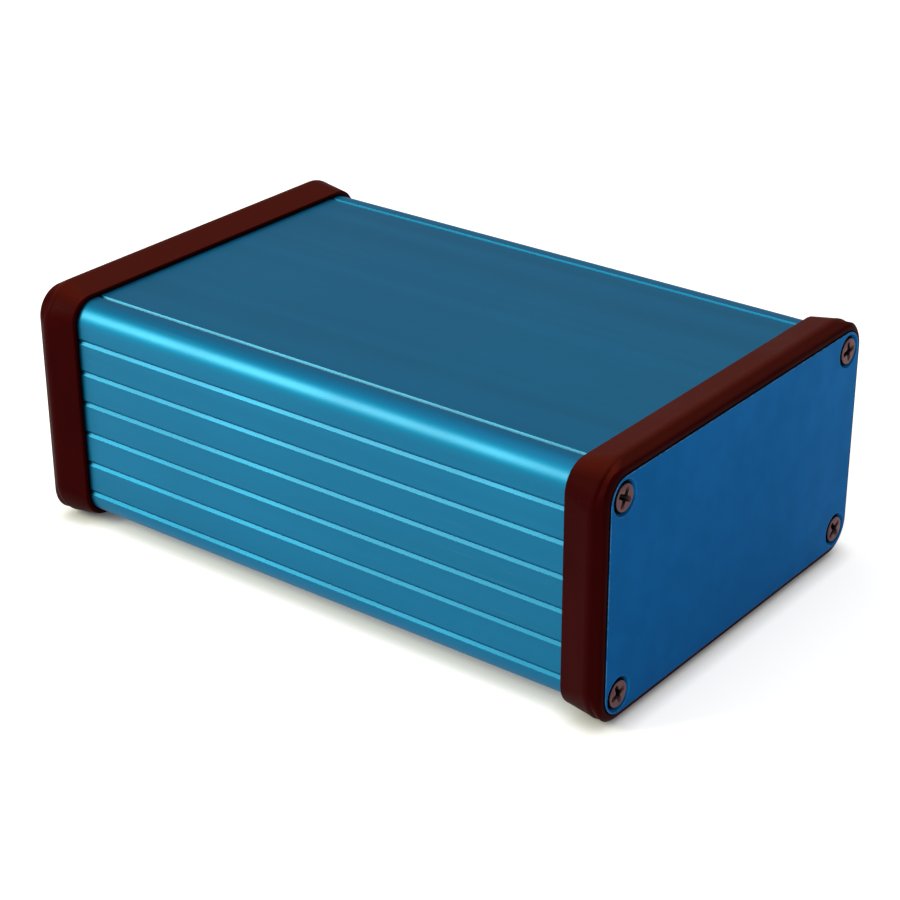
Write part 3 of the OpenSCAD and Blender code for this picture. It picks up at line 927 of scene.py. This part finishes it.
def make_tracks():
    """Copper tracks beneath the mask, which stand up as fine raised lines."""
    bm = bmesh.new()
    runs = [
        ((-34, -11.5), (-22, -8), 7, 0.42), ((-34, 5), (-22, 1), 8, 0.42), ((-30, 21), (-16, 14), 8, 0.45),
        ((-41.6, -13), (-51, -17), 6, 0.4), ((18, -13), (21, -13), 12, 0.7), ((1, -13), (8, -13), 13, 0.8),
        ((1, 5), (8, 5), 14, 0.8), ((18, 3), (27, 9), 11, 0.5), ((2, 14), (22, 22), 7, 0.45),
        ((33, -16), (39, -19), 8, 0.5), ((-8, -31), (34, -28), 5, 0.7), ((-34, 26), (-22, 28), 4, 0.8),
        ((23, 25.5), (39, 29), 5, 0.6), ((-35, -28), (-31.6, -28), 6, 0.8), ((-24.4, -31), (-22.3, -31), 4,
                                                                             0.8),
    ]
    for start, end, count, pitch in runs:
        bus(bm, [v * MM for v in start], [v * MM for v in end], count, pitch * MM)
    extra_piece(bm, "copper_tracks", TRACK, "board_laminate")


def free_spots(chance, count, half_x, half_y, margin, taken):
    """Places on the board's top where a small block fits clear of everything else."""
    spots = []
    for _ in range(count * 60):
        if len(spots) == count:
            break
        x = chance.uniform(board_low.x + 3 * MM, board_high.x - 3 * MM)
        y = chance.uniform(board_low.y + 5 * MM, board_high.y - 5 * MM)
        x, y = round(x / (0.5 * MM)) * 0.5 * MM, round(y / (0.5 * MM)) * 0.5 * MM
        box = (x - half_x - margin, y - half_y - margin, x + half_x + margin, y + half_y + margin)
        if all(box[2] < t[0] or t[2] < box[0] or box[3] < t[1] or t[3] < box[1] for t in taken):
            spots.append((x, y))
            taken.append((x - half_x, y - half_y, x + half_x, y + half_y))
    return spots


def make_print():
    """White printed frames round the chips and a dot at each chip's first pin, with no lettering."""
    bm = bmesh.new()
    for node in CHIPS[:-1] + ["power_inductor", "clock_crystal", "input_fuse"]:
        low, high, middle = node_middle(node)
        gap = 0.75 * MM
        x0, x1, y0, y1 = low.x - gap, high.x + gap, low.y - gap, high.y + gap
        for x, y in rectangle(x0, x1, y0, y1):
            to_x, to_y = math.copysign(1.6 * MM, middle.x - x), math.copysign(1.6 * MM, middle.y - y)
            ribbon(bm, [(x + to_x, y), (x, y), (x, y + to_y)], 0.15 * MM, BOARD_TOP, 0.02 * MM)
        turned(bm, x0 - 0.6 * MM, y0, BOARD_TOP, [(-0.01, 0.25), (0.02, 0.25)], 16)
    low, high, middle = node_middle("header_base")
    corners = rectangle(low.x, high.x, low.y, high.y) + [(low.x, low.y)]
    away = 0.35 * MM
    corners = [(x + math.copysign(away, x - middle.x), y + math.copysign(away, y - middle.y)) for x,
               y in corners]
    ribbon(bm, corners, 0.15 * MM, BOARD_TOP, 0.02 * MM)
    extra_piece(bm, "white_print", WHITE, "board_laminate")


def make_small_parts():
    """Rows of tiny capacitors and resistors, small tinned vias, and their solder ends."""
    chance = random.Random(11)
    taken = []
    for node in TALL_NODES:
        low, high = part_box(node)
        taken.append((low.x - 0.6 * MM, low.y - 0.6 * MM, high.x + 0.6 * MM, high.y + 0.6 * MM))
    bodies = {"small_capacitors": bmesh.new(), "small_resistors": bmesh.new()}
    ends = bmesh.new()
    shapes = [("small_capacitors", 1.0, 0.5, 0.5, 34), ("small_resistors", 1.0, 0.5, 0.35, 40),
              ("small_capacitors", 2.0, 1.25, 0.9, 10), ("small_resistors", 1.6, 0.8, 0.45, 14)]
    for kind, long_side, short_side, height, count in shapes:
        for x, y in free_spots(chance, count, long_side / 2 * MM, long_side / 2 * MM, 0.35 * MM, taken):
            upright = chance.random() < 0.5
            along, across, tall = long_side / 2 * MM, short_side / 2 * MM, height * MM
            end, grow = 0.12 * long_side * MM, 0.03 * MM
            core, tip, way = (along - 2 * end, across), (end + grow, across + grow), (along - end, 0)
            if upright:
                core, tip, way = core[::-1], tip[::-1], way[::-1]
            add_bar(bodies[kind], x, y, *core, BOARD_TOP + 0.04 * MM, BOARD_TOP + tall, 0.05 * MM, 1)
            for side in (-1, 1):
                add_bar(ends, x + side * way[0], y + side * way[1], *tip, BOARD_TOP,
                        BOARD_TOP + tall + grow, 0.07 * MM,
                        1)
    extra_piece(bodies["small_capacitors"], "small_capacitors", CERAMIC, "capacitor_can")
    extra_piece(bodies["small_resistors"], "small_resistors", CHIP, "chip_resin")
    extra_piece(ends, "solder_ends", TIN, "tin_plate")
    vias = bmesh.new()
    for x, y in free_spots(chance, 130, 0.3 * MM, 0.3 * MM, 0.1 * MM, taken):
        turned(vias, x, y, BOARD_TOP, [(-0.01, 0.3), (0, 0.3), (0.025, 0.28), (0.03, 0.16), (-0.01, 0.14)],
               12)
    extra_piece(vias, "tinned_vias", GOLD, "contact_gold")


# ---- board: chips and power parts ----


def make_chips():
    """Chip bodies, first-pin dots, the feet of the flat packs and what is beneath the ball-grid ones."""
    bm = bmesh.new()
    for node in CHIPS:
        low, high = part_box(node)
        outline = box_outline(low, high, 0.3 * MM, 0, 3, PLAN)
        top = high.z
        rings = [(low.z + 0.08 * MM, inset(outline, 0.12 * MM)), (low.z + 0.1 * MM, outline)]
        rings += [(top - 0.1 * MM, outline), (top - 0.02 * MM, inset(outline, 0.06 * MM)),
                  (top, inset(outline, 0.14 * MM))]
        tower(bm, [rings])
    extra_piece(bm, "chip_bodies", CHIP, "chip_resin", *CHIPS)
    dots = bmesh.new()
    for node in CHIPS[:-1]:
        low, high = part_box(node)
        turned(dots, low.x + 1.1 * MM, low.y + 1.1 * MM, high.z, [(-0.01, 0.3), (0.01, 0.3)], 20)
    extra_piece(dots, "first_pin_dots", WHITE, "chip_resin")
    feet = bmesh.new()
    for node in ("power_controller", "network_controller", "usb_controller"):
        low, high, middle = node_middle(node)
        foot, wide, tall, pitch = 0.22 * MM, 0.13 * MM, 0.22 * MM, 0.5 * MM
        for i in range(11):
            step = (i - 5) * pitch
            for x, y in ((low.x, low.y), (high.x, high.y)):
                add_bar(feet, x, middle.y + step, foot, wide, BOARD_TOP, BOARD_TOP + tall, 0.04 * MM, 1)
                add_bar(feet, middle.x + step, y, wide, foot, BOARD_TOP, BOARD_TOP + tall, 0.04 * MM, 1)
    extra_piece(feet, "chip_feet", TIN, "contact_metal")
    balls = bmesh.new()
    for node in ("memory_chip_a", "memory_chip_b", "storage_chip", "processor"):
        outline = box_outline(*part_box(node), 0.2 * MM, 0.25 * MM, 2, PLAN)
        tower(balls, [[(BOARD_TOP, outline), (BOARD_TOP + 0.12 * MM, outline)]])
    extra_piece(balls, "chip_undersides", GREEN, "board_laminate")


def make_heat_sink():
    """Nine tapered fins cut across the middle, on a base over a soft pad."""
    low, high, middle = node_middle("heat_sink")
    base_top = low.z + 1.8 * MM
    bm = bmesh.new()
    add_block(bm, low, (high.x, high.y, base_top), 0.2 * MM)
    step = (high.y - low.y - 1.0 * MM) / 8
    for i in range(9):
        y = low.y + i * step
        outline = [(y, base_top - 0.3 * MM), (y + 1.0 * MM, base_top - 0.3 * MM), (y + 1.0 * MM, base_top)]
        outline += [(y + 0.88 * MM, base_top + 0.5 * MM), (y + 0.8 * MM, high.z), (y + 0.2 * MM, high.z)]
        outline += [(y + 0.12 * MM, base_top + 0.5 * MM), (y, base_top)]
        for x0, x1 in ((low.x, middle.x - 1.0 * MM), (middle.x + 1.0 * MM, high.x)):
            solid_of_walls(bm, [rounded_wall(outline, x0, x1, 0.06 * MM)])
    extra_piece(bm, "finned_heat_sink", BLACK_METAL, "heat_sink_black", "heat_sink")
    block_piece("soft_pad", PAD, "thermal_pad", 0.12 * MM, "thermal_pad")


def make_power_parts():
    """Capacitors, inductor, fuse, lights and crystal, with their tinned feet."""
    low, high, middle = node_middle("power_capacitors")
    cans, bases, marks, feet = (bmesh.new() for _ in range(4))
    for x in (low.x + 3.3 * MM, high.x - 3.3 * MM):
        y, z = middle.y, BOARD_TOP
        outline = [(-3.3, -3.3), (2.5, -3.3), (3.3, -2.5), (3.3, 2.5), (2.5, 3.3), (-3.3, 3.3)]
        outline = [(x + u * MM, y + v * MM) for u, v in outline]
        tower(bases, [rounded_wall(outline, z, z + 0.9 * MM, 0.1 * MM)])
        steps = [(0.8, 3.0), (1.1, 3.12), (1.5, 3.15), (1.8, 2.95), (2.0, 2.9), (2.2, 2.95), (2.5, 3.15),
                 (6.5, 3.15),
                 (6.85, 3.08), (7.08, 2.9), (7.16, 2.7), (7.1, 2.55), (7.06, 2.45)]
        turned(cans, x, y, z, steps, ROUND)
        side = [(x + 2.3 * math.cos(a) * MM, y + 2.3 * math.sin(a) * MM)
                for a in [math.radians(120 + 120 * i / 16) for i in range(17)]]
        tower(marks, [[(z + 7.0 * MM, side), (z + 7.08 * MM, side)]])
        for turn in (0, 90):
            a = math.radians(turn + 45)
            ends = [(x + k * 1.9 * math.cos(a) * MM, y + k * 1.9 * math.sin(a) * MM) for k in (-1, 1)]
            ribbon(marks, ends, 0.14 * MM, z + 7.05 * MM, 0.02 * MM)
        for side in (-1, 1):
            add_bar(feet, x + side * 3.6 * MM, y, 0.5 * MM, 0.4 * MM, z, z + 0.2 * MM, 0.05 * MM, 1)
    extra_piece(cans, "capacitor_cans", CAN, "capacitor_can", "power_capacitors")
    extra_piece(bases, "capacitor_bases", BLACK, "moulded_black")
    extra_piece(marks, "capacitor_marks", BLACK, "moulded_black")
    block_piece("pressed_inductor", INDUCTOR, "inductor_body", 0.45 * MM, "power_inductor")
    block_piece("moulded_fuse", FUSE, "fuse_body", 0.15 * MM, "input_fuse")
    for node in ("power_inductor", "input_fuse"):
        low, high, middle = node_middle(node)
        wide = (high.y - low.y) * 0.3
        for x in (low.x, high.x):
            add_bar(feet, x, middle.y, 0.3 * MM, wide, BOARD_TOP, BOARD_TOP + 0.8 * MM, 0.08 * MM, 1)
    low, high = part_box("status_lights")
    lenses = bmesh.new()
    for y0, y1 in ((low.y, low.y + 2.2 * MM), (high.y - 2.2 * MM, high.y)):
        add_block(feet, (low.x, y0, BOARD_TOP), (high.x, y1, BOARD_TOP + 0.3 * MM), 0.06 * MM, 1)
        add_block(lenses, (low.x + 0.1 * MM, y0 + 0.4 * MM, BOARD_TOP + 0.25 * MM),
                  (high.x - 0.1 * MM, y1 - 0.4 * MM, high.z), 0.22 * MM, 3)
    extra_piece(lenses, "light_lenses", LENS, "light_lens", "status_lights")
    extra_piece(feet, "tinned_feet", TIN, "contact_metal")
    low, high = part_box("clock_crystal")
    lid = bmesh.new()
    add_block(lid, low, (high.x, high.y, low.z + 0.35 * MM), 0.05 * MM, 1)
    outline = box_outline(low, high, 0.6 * MM, 0.25 * MM, 5, PLAN)
    tower(lid, [rounded_wall(outline, low.z + 0.3 * MM, high.z, 0.15 * MM)])
    extra_piece(lid, "crystal_can", TIN, "tin_plate", "clock_crystal")


# ---- board: ports ----

SHEET_T = 0.4 * MM


def make_shells():
    """The folded tin shells: rounded bends, spring tongues, a closed back and legs through the board."""
    legs = bmesh.new()
    for node, name in (("network_shell", "network_port_shell"), ("usb_shell", "double_data_port_shell"),
                       ("video_shell", "picture_port_shell")):
        low, high, middle = node_middle(node)
        skin = 0.08 * MM
        bm = bmesh.new()
        outer = rounded_wall(box_outline(low, high, 0.8 * MM, skin), low.x, high.x - SHEET_T, 0.08 * MM)
        inner = hole_wall(box_outline(low, high, 0.5 * MM, SHEET_T), low.x, high.x - SHEET_T, 0.08 * MM)
        solid_of_walls(bm, [outer, inner])
        add_block(bm, (high.x - SHEET_T, low.y + skin, low.z + skin),
                  (high.x, high.y - skin, high.z - skin), 0.15 * MM)
        length, width = high.x - low.x, high.y - low.y
        for side in (-1, 1):
            face = middle.y + side * width / 2
            add_bar(bm, low.x + 0.41 * length, face - side * 0.1 * MM, 0.21 * length, 0.1 * MM,
                    middle.z - 0.9 * MM, middle.z + 0.9 * MM, 0.07 * MM)
            add_bar(bm, low.x + 0.425 * length, middle.y + side * 0.24 * width, 0.225 * length, 1.0 * MM,
                    high.z - 0.2 * MM, high.z, 0.07 * MM)
            for share in (0.35, 0.8):
                add_bar(legs, low.x + share * length, face - side * 0.25 * MM, 0.8 * MM, 0.15 * MM,
                        BOARD_UNDER - 1.2 * MM, BOARD_TOP + 1.0 * MM, 0.08 * MM, 1)
        extra_piece(bm, name, TIN, "tin_plate", node)
    extra_piece(legs, "shell_legs", TIN, "tin_plate")


def notched_mouth(middle_y, low_z):
    """The network socket's mouth: a wide opening above a narrow keyway."""
    points = [(-5.9, 3.2), (-3.0, 3.2), (-3.0, 1.6), (3.0, 1.6), (3.0, 3.2), (5.9, 3.2), (5.9, 10.2),
              (-5.9, 10.2)]
    return [(middle_y + y * MM, low_z + z * MM) for y, z in points]


def make_port_insides():
    """The moulded insides of the three ports, their contacts and the network lamps."""
    contacts = bmesh.new()
    # network: a block with a keyed mouth and eight sprung wires
    low, high, middle = node_middle("network_insert")
    bm = bmesh.new()
    mouth_end = low.x + 12.6 * MM
    mouth = hole_wall(notched_mouth(middle.y, low.z), low.x, mouth_end, 0.1 * MM)
    add_open_block(bm, low, high, low.x, mouth_end, 0.1 * MM, mouth, 0.1 * MM)
    extra_piece(bm, "network_socket", BLACK, "moulded_black", "network_insert")
    for i in range(8):
        y = middle.y + (i - 3.5) * 1.02 * MM
        wire = [(low.x + 1.6 * MM, 9.9), (low.x + 2.4 * MM, 8.9), (low.x + 10.6 * MM, 5.4),
                (low.x + 11.4 * MM, 5.4)]
        outline = [(x, low.z + z * MM) for x, z in wire] + [(x, low.z + (z + 0.35) * MM) for x,
                                                            z in reversed(wire)]
        add_plate(contacts, outline, y, 0.42 * MM)
    lamps = bmesh.new()
    for side in (-1, 1):
        add_bar(lamps, low.x + 0.375 * MM, middle.y + side * 5.4 * MM, 0.625 * MM, 1.3 * MM,
                high.z - 1.75 * MM, high.z - 0.3 * MM, 0.2 * MM)
    extra_piece(lamps, "network_lamps", LENS, "light_lens")
    # two data sockets, one above the other
    low, high, middle = node_middle("usb_insert")
    bm = bmesh.new()
    add_block(bm, (high.x - 5.0 * MM, low.y, low.z), high, 0.1 * MM)
    add_block(bm, (low.x, low.y, low.z + 6.1 * MM), (high.x - 4.9 * MM, high.y, low.z + 8.7 * MM), 0.15 * MM)
    for height in (3.4, 12.2):
        add_block(bm, (low.x + 1.0 * MM, middle.y - 5.5 * MM, low.z + height * MM),
                  (high.x - 4.9 * MM, middle.y + 5.5 * MM, low.z + (height + 1.5) * MM), 0.2 * MM)
        for i in range(4):
            y = middle.y + (i - 1.5) * 2.3 * MM
            add_block(contacts, (low.x + 1.8 * MM, y - 0.5 * MM, low.z + (height - 0.06) * MM),
                      (high.x - 5.0 * MM, y + 0.5 * MM, low.z + (height + 0.06) * MM), 0.03 * MM, 1)
    extra_piece(bm, "data_port_tongues", BLACK, "moulded_black", "usb_insert")
    # picture socket: one tongue with a row of contacts on each face
    low, high, middle = node_middle("video_insert")
    bm = bmesh.new()
    add_block(bm, (high.x - 3.0 * MM, low.y, low.z), high, 0.1 * MM)
    tongue = (low.z + 1.9 * MM, low.z + 3.2 * MM)
    add_block(bm, (low.x, middle.y - 5.8 * MM, tongue[0]),
              (high.x - 2.9 * MM, middle.y + 5.8 * MM, tongue[1]), 0.2 * MM)
    for i in range(10):
        y = middle.y + (i - 4.5) * 1.0 * MM
        for face in tongue:
            add_block(contacts, (low.x + 0.7 * MM, y - 0.2 * MM, face - 0.05 * MM),
                      (high.x - 3.0 * MM, y + 0.2 * MM, face + 0.05 * MM), 0.02 * MM, 1)
    extra_piece(bm, "picture_port_tongue", BLACK, "moulded_black", "video_insert")
    extra_piece(contacts, "port_contacts", GOLD, "contact_gold")


def make_power_jack():
    """The round power socket with its barrel and sprung pin."""
    low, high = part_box("power_jack")
    pin_low, pin_high, pin = node_middle("power_pin")
    body_x = low.x + 2.4 * MM
    mouth_end = low.x + 9.5 * MM
    bm = bmesh.new()
    bore = [(x, circle(pin.y, pin.z, 3.2 * MM, ROUND)[::-1]) for x in (body_x, mouth_end)]
    add_open_block(bm, low, high, body_x, mouth_end, 0.25 * MM, bore, 0.2 * MM)
    barrel = [(low.x, 3.75), (low.x + 0.1 * MM, 3.92), (low.x + 0.25 * MM, 4.0), (body_x, 4.0)]
    lip = [(low.x, 3.45), (low.x + 0.3 * MM, 3.2), (body_x, 3.2)]
    solid_of_walls(bm, [[(x, circle(pin.y, pin.z, r * MM, ROUND)) for x, r in barrel],
                        [(x, circle(pin.y, pin.z, r * MM, ROUND)[::-1]) for x, r in lip]])
    extra_piece(bm, "power_socket", BLACK, "moulded_black", "power_jack")
    steps = [(0, 0.35), (0.12, 0.65), (0.4, 0.9), (0.8, 1.0), (3.2, 1.0), (3.3, 0.94), (3.6, 0.94),
             (3.7, 1.0)]
    rings = [(pin_low.x + x * MM, circle(pin.y, pin.z, r * MM, 32)) for x, r in steps]
    rings.append((pin_high.x, circle(pin.y, pin.z, 1.0 * MM, 32)))
    pin_mesh = bmesh.new()
    solid_of_walls(pin_mesh, [rings])
    extra_piece(pin_mesh, "power_socket_pin", TIN, "contact_metal", "power_pin")


def make_card_parts():
    """The card slot's tin cover and the memory card in it."""
    low, high, middle = node_middle("card_slot")
    card_low, card_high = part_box("memory_card")
    bm = bmesh.new()
    way_in = rectangle(card_low.y - 0.1 * MM, card_high.y + 0.1 * MM, card_low.z - 0.1 * MM,
                       card_high.z + 0.1 * MM)
    inner_end = low.x + 12.0 * MM
    hole = hole_wall(way_in, low.x, inner_end, 0.08 * MM)
    add_open_block(bm, low, high, low.x, inner_end, 0.06 * MM, hole, 0.08 * MM)
    for side in (-1, 1):
        add_bar(bm, low.x + 6 * MM, middle.y + side * 4.2 * MM, 3 * MM, 0.6 * MM, low.z, low.z + 0.12 * MM,
                0.05 * MM)
    extra_piece(bm, "card_slot_cover", TIN, "tin_plate", "card_slot")
    # the card: rounded corners, a stepped side and a thumb lip
    x0, x1, y0, y1 = card_low.x, card_high.x, card_low.y, card_high.y
    step = 1.3 * MM
    outline = [(x0 + 0.6 * MM, y0), (x1 - 0.6 * MM, y0), (x1, y0 + 0.6 * MM), (x1, y1 - step - 0.5 * MM)]
    outline += [(x1 - 0.5 * MM, y1 - step), (x1 - 6.2 * MM, y1 - step), (x1 - 7.2 * MM, y1),
                (x0 + 0.6 * MM, y1)]
    outline += [(x0, y1 - 0.6 * MM), (x0, y0 + 0.6 * MM)]
    bm = bmesh.new()
    tower(bm, [rounded_wall(outline, card_low.z + 0.25 * MM, card_high.z, 0.08 * MM)])
    add_block(bm, (x0, y0 + 0.5 * MM, card_low.z), (x0 + 1.4 * MM, y1 - 0.5 * MM, card_low.z + 0.3 * MM),
              0.1 * MM)
    place(finish_mesh(bm, "memory_card_body", CHIP, 40), "memory_card", "card_plastic", "memory_card")
    bm = bmesh.new()
    for i in range(8):
        add_bar(bm, x1 - 2.05 * MM, y0 + (1.2 + i * 1.1) * MM, 1.35 * MM, 0.4 * MM,
                card_low.z + 0.22 * MM, card_low.z + 0.3 * MM, 0.02 * MM, 1)
    place(finish_mesh(bm, "memory_card_contacts", GOLD, 40), "memory_card", "contact_gold")


# ---- board: header and flat cable connectors ----

PIN_PITCH = 2.54 * MM


def make_header():
    """The two-row header: moulded cells, gold pins and the solder below the board."""
    low, high, middle = node_middle("header_base")
    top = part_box("header_pins")[1].z
    count = round((high.x - low.x) / PIN_PITCH)
    strip, pins, joints = bmesh.new(), bmesh.new(), bmesh.new()
    fillet = [(-1.1, 0.18), (-0.95, 0.3), (-0.5, 0.42), (-0.15, 0.75), (0.02, 0.85)]
    for i in range(count):
        x0 = low.x + i * PIN_PITCH
        cell = [(0, 0.5), (0.5, 0), (2.04, 0), (2.54, 0.5), (2.54, 4.58), (2.04, 5.08), (0.5, 5.08),
                (0, 4.58)]
        cell = [(x0 + x * MM, low.y + y * MM) for x, y in cell]
        tower(strip, [rounded_wall(cell, low.z + 0.02 * MM, high.z, 0.12 * MM)])
        for row in (-0.5, 0.5):
            x, y = x0 + PIN_PITCH / 2, middle.y + row * PIN_PITCH
            rings = [(high.z - 0.3 * MM, 0.32), (top - 0.55 * MM, 0.32), (top - 0.2 * MM, 0.22), (top, 0.12)]
            square = [(z, rectangle(x - r * MM, x + r * MM, y - r * MM, y + r * MM)) for z, r in rings]
            tower(pins, [square])
            turned(joints, x, y, BOARD_UNDER, fillet, 16)
    extra_piece(strip, "header_strip", BLACK, "moulded_black", "header_base")
    extra_piece(pins, "gold_header_pins", GOLD, "contact_gold", "header_pins")
    extra_piece(joints, "solder_joints", TIN, "tin_plate")


def make_flat_cable_connectors():
    """Two flat cable sockets with a slot, a latch and a row of contacts each."""
    bodies, latches, contacts = bmesh.new(), bmesh.new(), bmesh.new()
    for node in ("display_connector", "camera_connector"):
        low, high, middle = node_middle(node)
        slot_low = low.z + 1.4 * MM
        shoulder = high.z - 1.5 * MM
        outline = rectangle(low.x, high.x, low.y + 0.9 * MM, high.y - 0.9 * MM)
        slot = rectangle(middle.x - 0.5 * MM, middle.x + 0.5 * MM, middle.y - 8.5 * MM, middle.y + 8.5 * MM)
        add_block(bodies, (low.x, low.y + 0.9 * MM, low.z), (high.x, high.y - 0.9 * MM, slot_low), 0.12 * MM)
        tower(bodies, [rounded_wall(outline, slot_low - 0.05 * MM, shoulder, 0.12 * MM),
                       hole_wall(slot, slot_low - 0.05 * MM, shoulder, 0.1 * MM)])
        for side in (-1, 1):
            add_bar(bodies, middle.x, middle.y + side * 9.6 * MM, 1.2 * MM, 0.6 * MM, low.z,
                    shoulder - 0.8 * MM, 0.15 * MM)
            add_bar(latches, middle.x, middle.y + side * 9.8 * MM, 1.0 * MM, 0.7 * MM, shoulder - 0.7 * MM,
                    high.z,
                    0.2 * MM)
        add_block(latches, (middle.x + 0.6 * MM, low.y + 0.5 * MM, shoulder),
                  (high.x - 0.2 * MM, high.y - 0.5 * MM, high.z), 0.2 * MM)
        for i in range(15):
            y = middle.y + (i - 7) * 1.0 * MM
            add_bar(contacts, middle.x - 0.4 * MM, y, 0.1 * MM, 0.2 * MM, slot_low, shoulder - 0.3 * MM,
                    0.05 * MM, 1)
            add_bar(contacts, low.x - 0.3 * MM, y, 0.5 * MM, 0.2 * MM, BOARD_TOP, BOARD_TOP + 0.25 * MM,
                    0.05 * MM, 1)
    extra_piece(bodies, "flat_cable_sockets", CREAM, "connector_cream", "display_connector",
                "camera_connector")
    extra_piece(latches, "flat_cable_latches", BLACK, "moulded_black")
    extra_piece(contacts, "flat_cable_contacts", TIN, "contact_metal")


make_board()
make_tracks()
make_print()
make_small_parts()
make_chips()
make_heat_sink()
make_power_parts()
make_shells()
make_port_insides()
make_power_jack()
make_card_parts()
make_header()
make_flat_cable_connectors()


# ---- floor, lights and camera ----


def make_floor():
    """A pale floor that glows a little, so that only what touches it leaves a shadow; near the object the glow
    is dimmed by occlusion, a painted contact shadow.
    """
    bm = bmesh.new()
    bmesh.ops.create_grid(bm, x_segments=1, y_segments=1, size=3.0)
    mesh = bpy.data.meshes.new("Pale floor")
    bm.to_mesh(mesh)
    bm.free()
    floor = bpy.data.objects.new("Pale floor", mesh)
    bpy.context.scene.collection.objects.link(floor)
    material, tree, shader = new_material("Pale floor", Base_Color=(0.6, 0.6, 0.6, 1), Roughness=0.9)
    shader.inputs["Emission Color"].default_value = (1, 1, 1, 1)
    seen = add(tree, "ShaderNodeLightPath").outputs["Is Camera Ray"]
    glow = math_node(tree, "ADD", math_node(tree, "MULTIPLY", seen, 0.31), 0.34)
    # Painted contact shadow: the glow fades where the object crowds the floor.
    open_sky = add(tree, "ShaderNodeAmbientOcclusion", samples=8, Distance=4 * MM).outputs["AO"]
    shade = math_node(tree, "POWER", open_sky, 1.2)
    tree.links.new(math_node(tree, "MULTIPLY", glow, shade), shader.inputs["Emission Strength"])
    mesh.materials.append(material)


def soft_light(name, azimuth, elevation, distance, size, power, tint=(1, 1, 1)):
    """A square soft light that faces the object. Azimuth 0 is in front of it, on -Y, and 90 is on +X."""
    a, e = math.radians(azimuth), math.radians(elevation)
    back = Vector((math.sin(a) * math.cos(e), -math.cos(a) * math.cos(e), math.sin(e)))
    data = bpy.data.lights.new(name, "AREA")
    data.size = size
    data.energy = power
    data.color = tint
    lamp = bpy.data.objects.new(name, data)
    lamp.location = Vector((0, 0, MID_Z)) + back * distance
    lamp.rotation_euler = back.to_track_quat("Z", "Y").to_euler()
    bpy.context.scene.collection.objects.link(lamp)


def set_world(strength):
    """An even soft room, which looks as white as the floor behind the object."""
    world = bpy.data.worlds.new("Soft room")
    world.use_nodes = True
    tree = world.node_tree
    sky = next(n for n in tree.nodes if n.type == "BACKGROUND")
    sky.inputs["Color"].default_value = (1, 1, 1, 1)
    seen = add(tree, "ShaderNodeLightPath").outputs["Is Camera Ray"]
    shown = math_node(tree, "ADD", math_node(tree, "MULTIPLY", seen, 1.05 - strength), strength)
    tree.links.new(shown, sky.inputs["Strength"])
    bpy.context.scene.world = world


def set_camera(azimuth, elevation, roll, distance, aim, lens):
    """The camera on a line through its aim. Azimuth is as for the lights and lens is in mm."""
    a, e = math.radians(azimuth), math.radians(elevation)
    back = Vector((math.sin(a) * math.cos(e), -math.cos(a) * math.cos(e), math.sin(e)))
    right = Vector((math.cos(a), math.sin(a), 0))
    up = back.cross(right)
    r = math.radians(roll)
    right, up = right * math.cos(r) + up * math.sin(r), up * math.cos(r) - right * math.sin(r)
    data = bpy.data.cameras.new("Camera")
    data.lens = lens
    data.sensor_width = 36
    camera = bpy.data.objects.new("Camera", data)
    camera.location = Vector(aim) + back * distance
    columns = (right, up, back)
    camera.rotation_euler = Matrix(columns).transposed().to_euler()
    bpy.context.scene.collection.objects.link(camera)
    bpy.context.scene.camera = camera


make_floor()
set_world(0.42)
soft_light("Key light", -41.0, 31, 0.9, 0.38, 6.9, (1.0, 1.0, 0.71))
soft_light("Overhead light", 0, 89, 1.0, 1.0, 4.5)
set_camera(37.745, 26.137, -0.146, 419.14 * MM, (2.44 * MM, -1.42 * MM, 18.55 * MM), 90.33)
bpy.context.scene.view_settings.view_transform = "Standard"
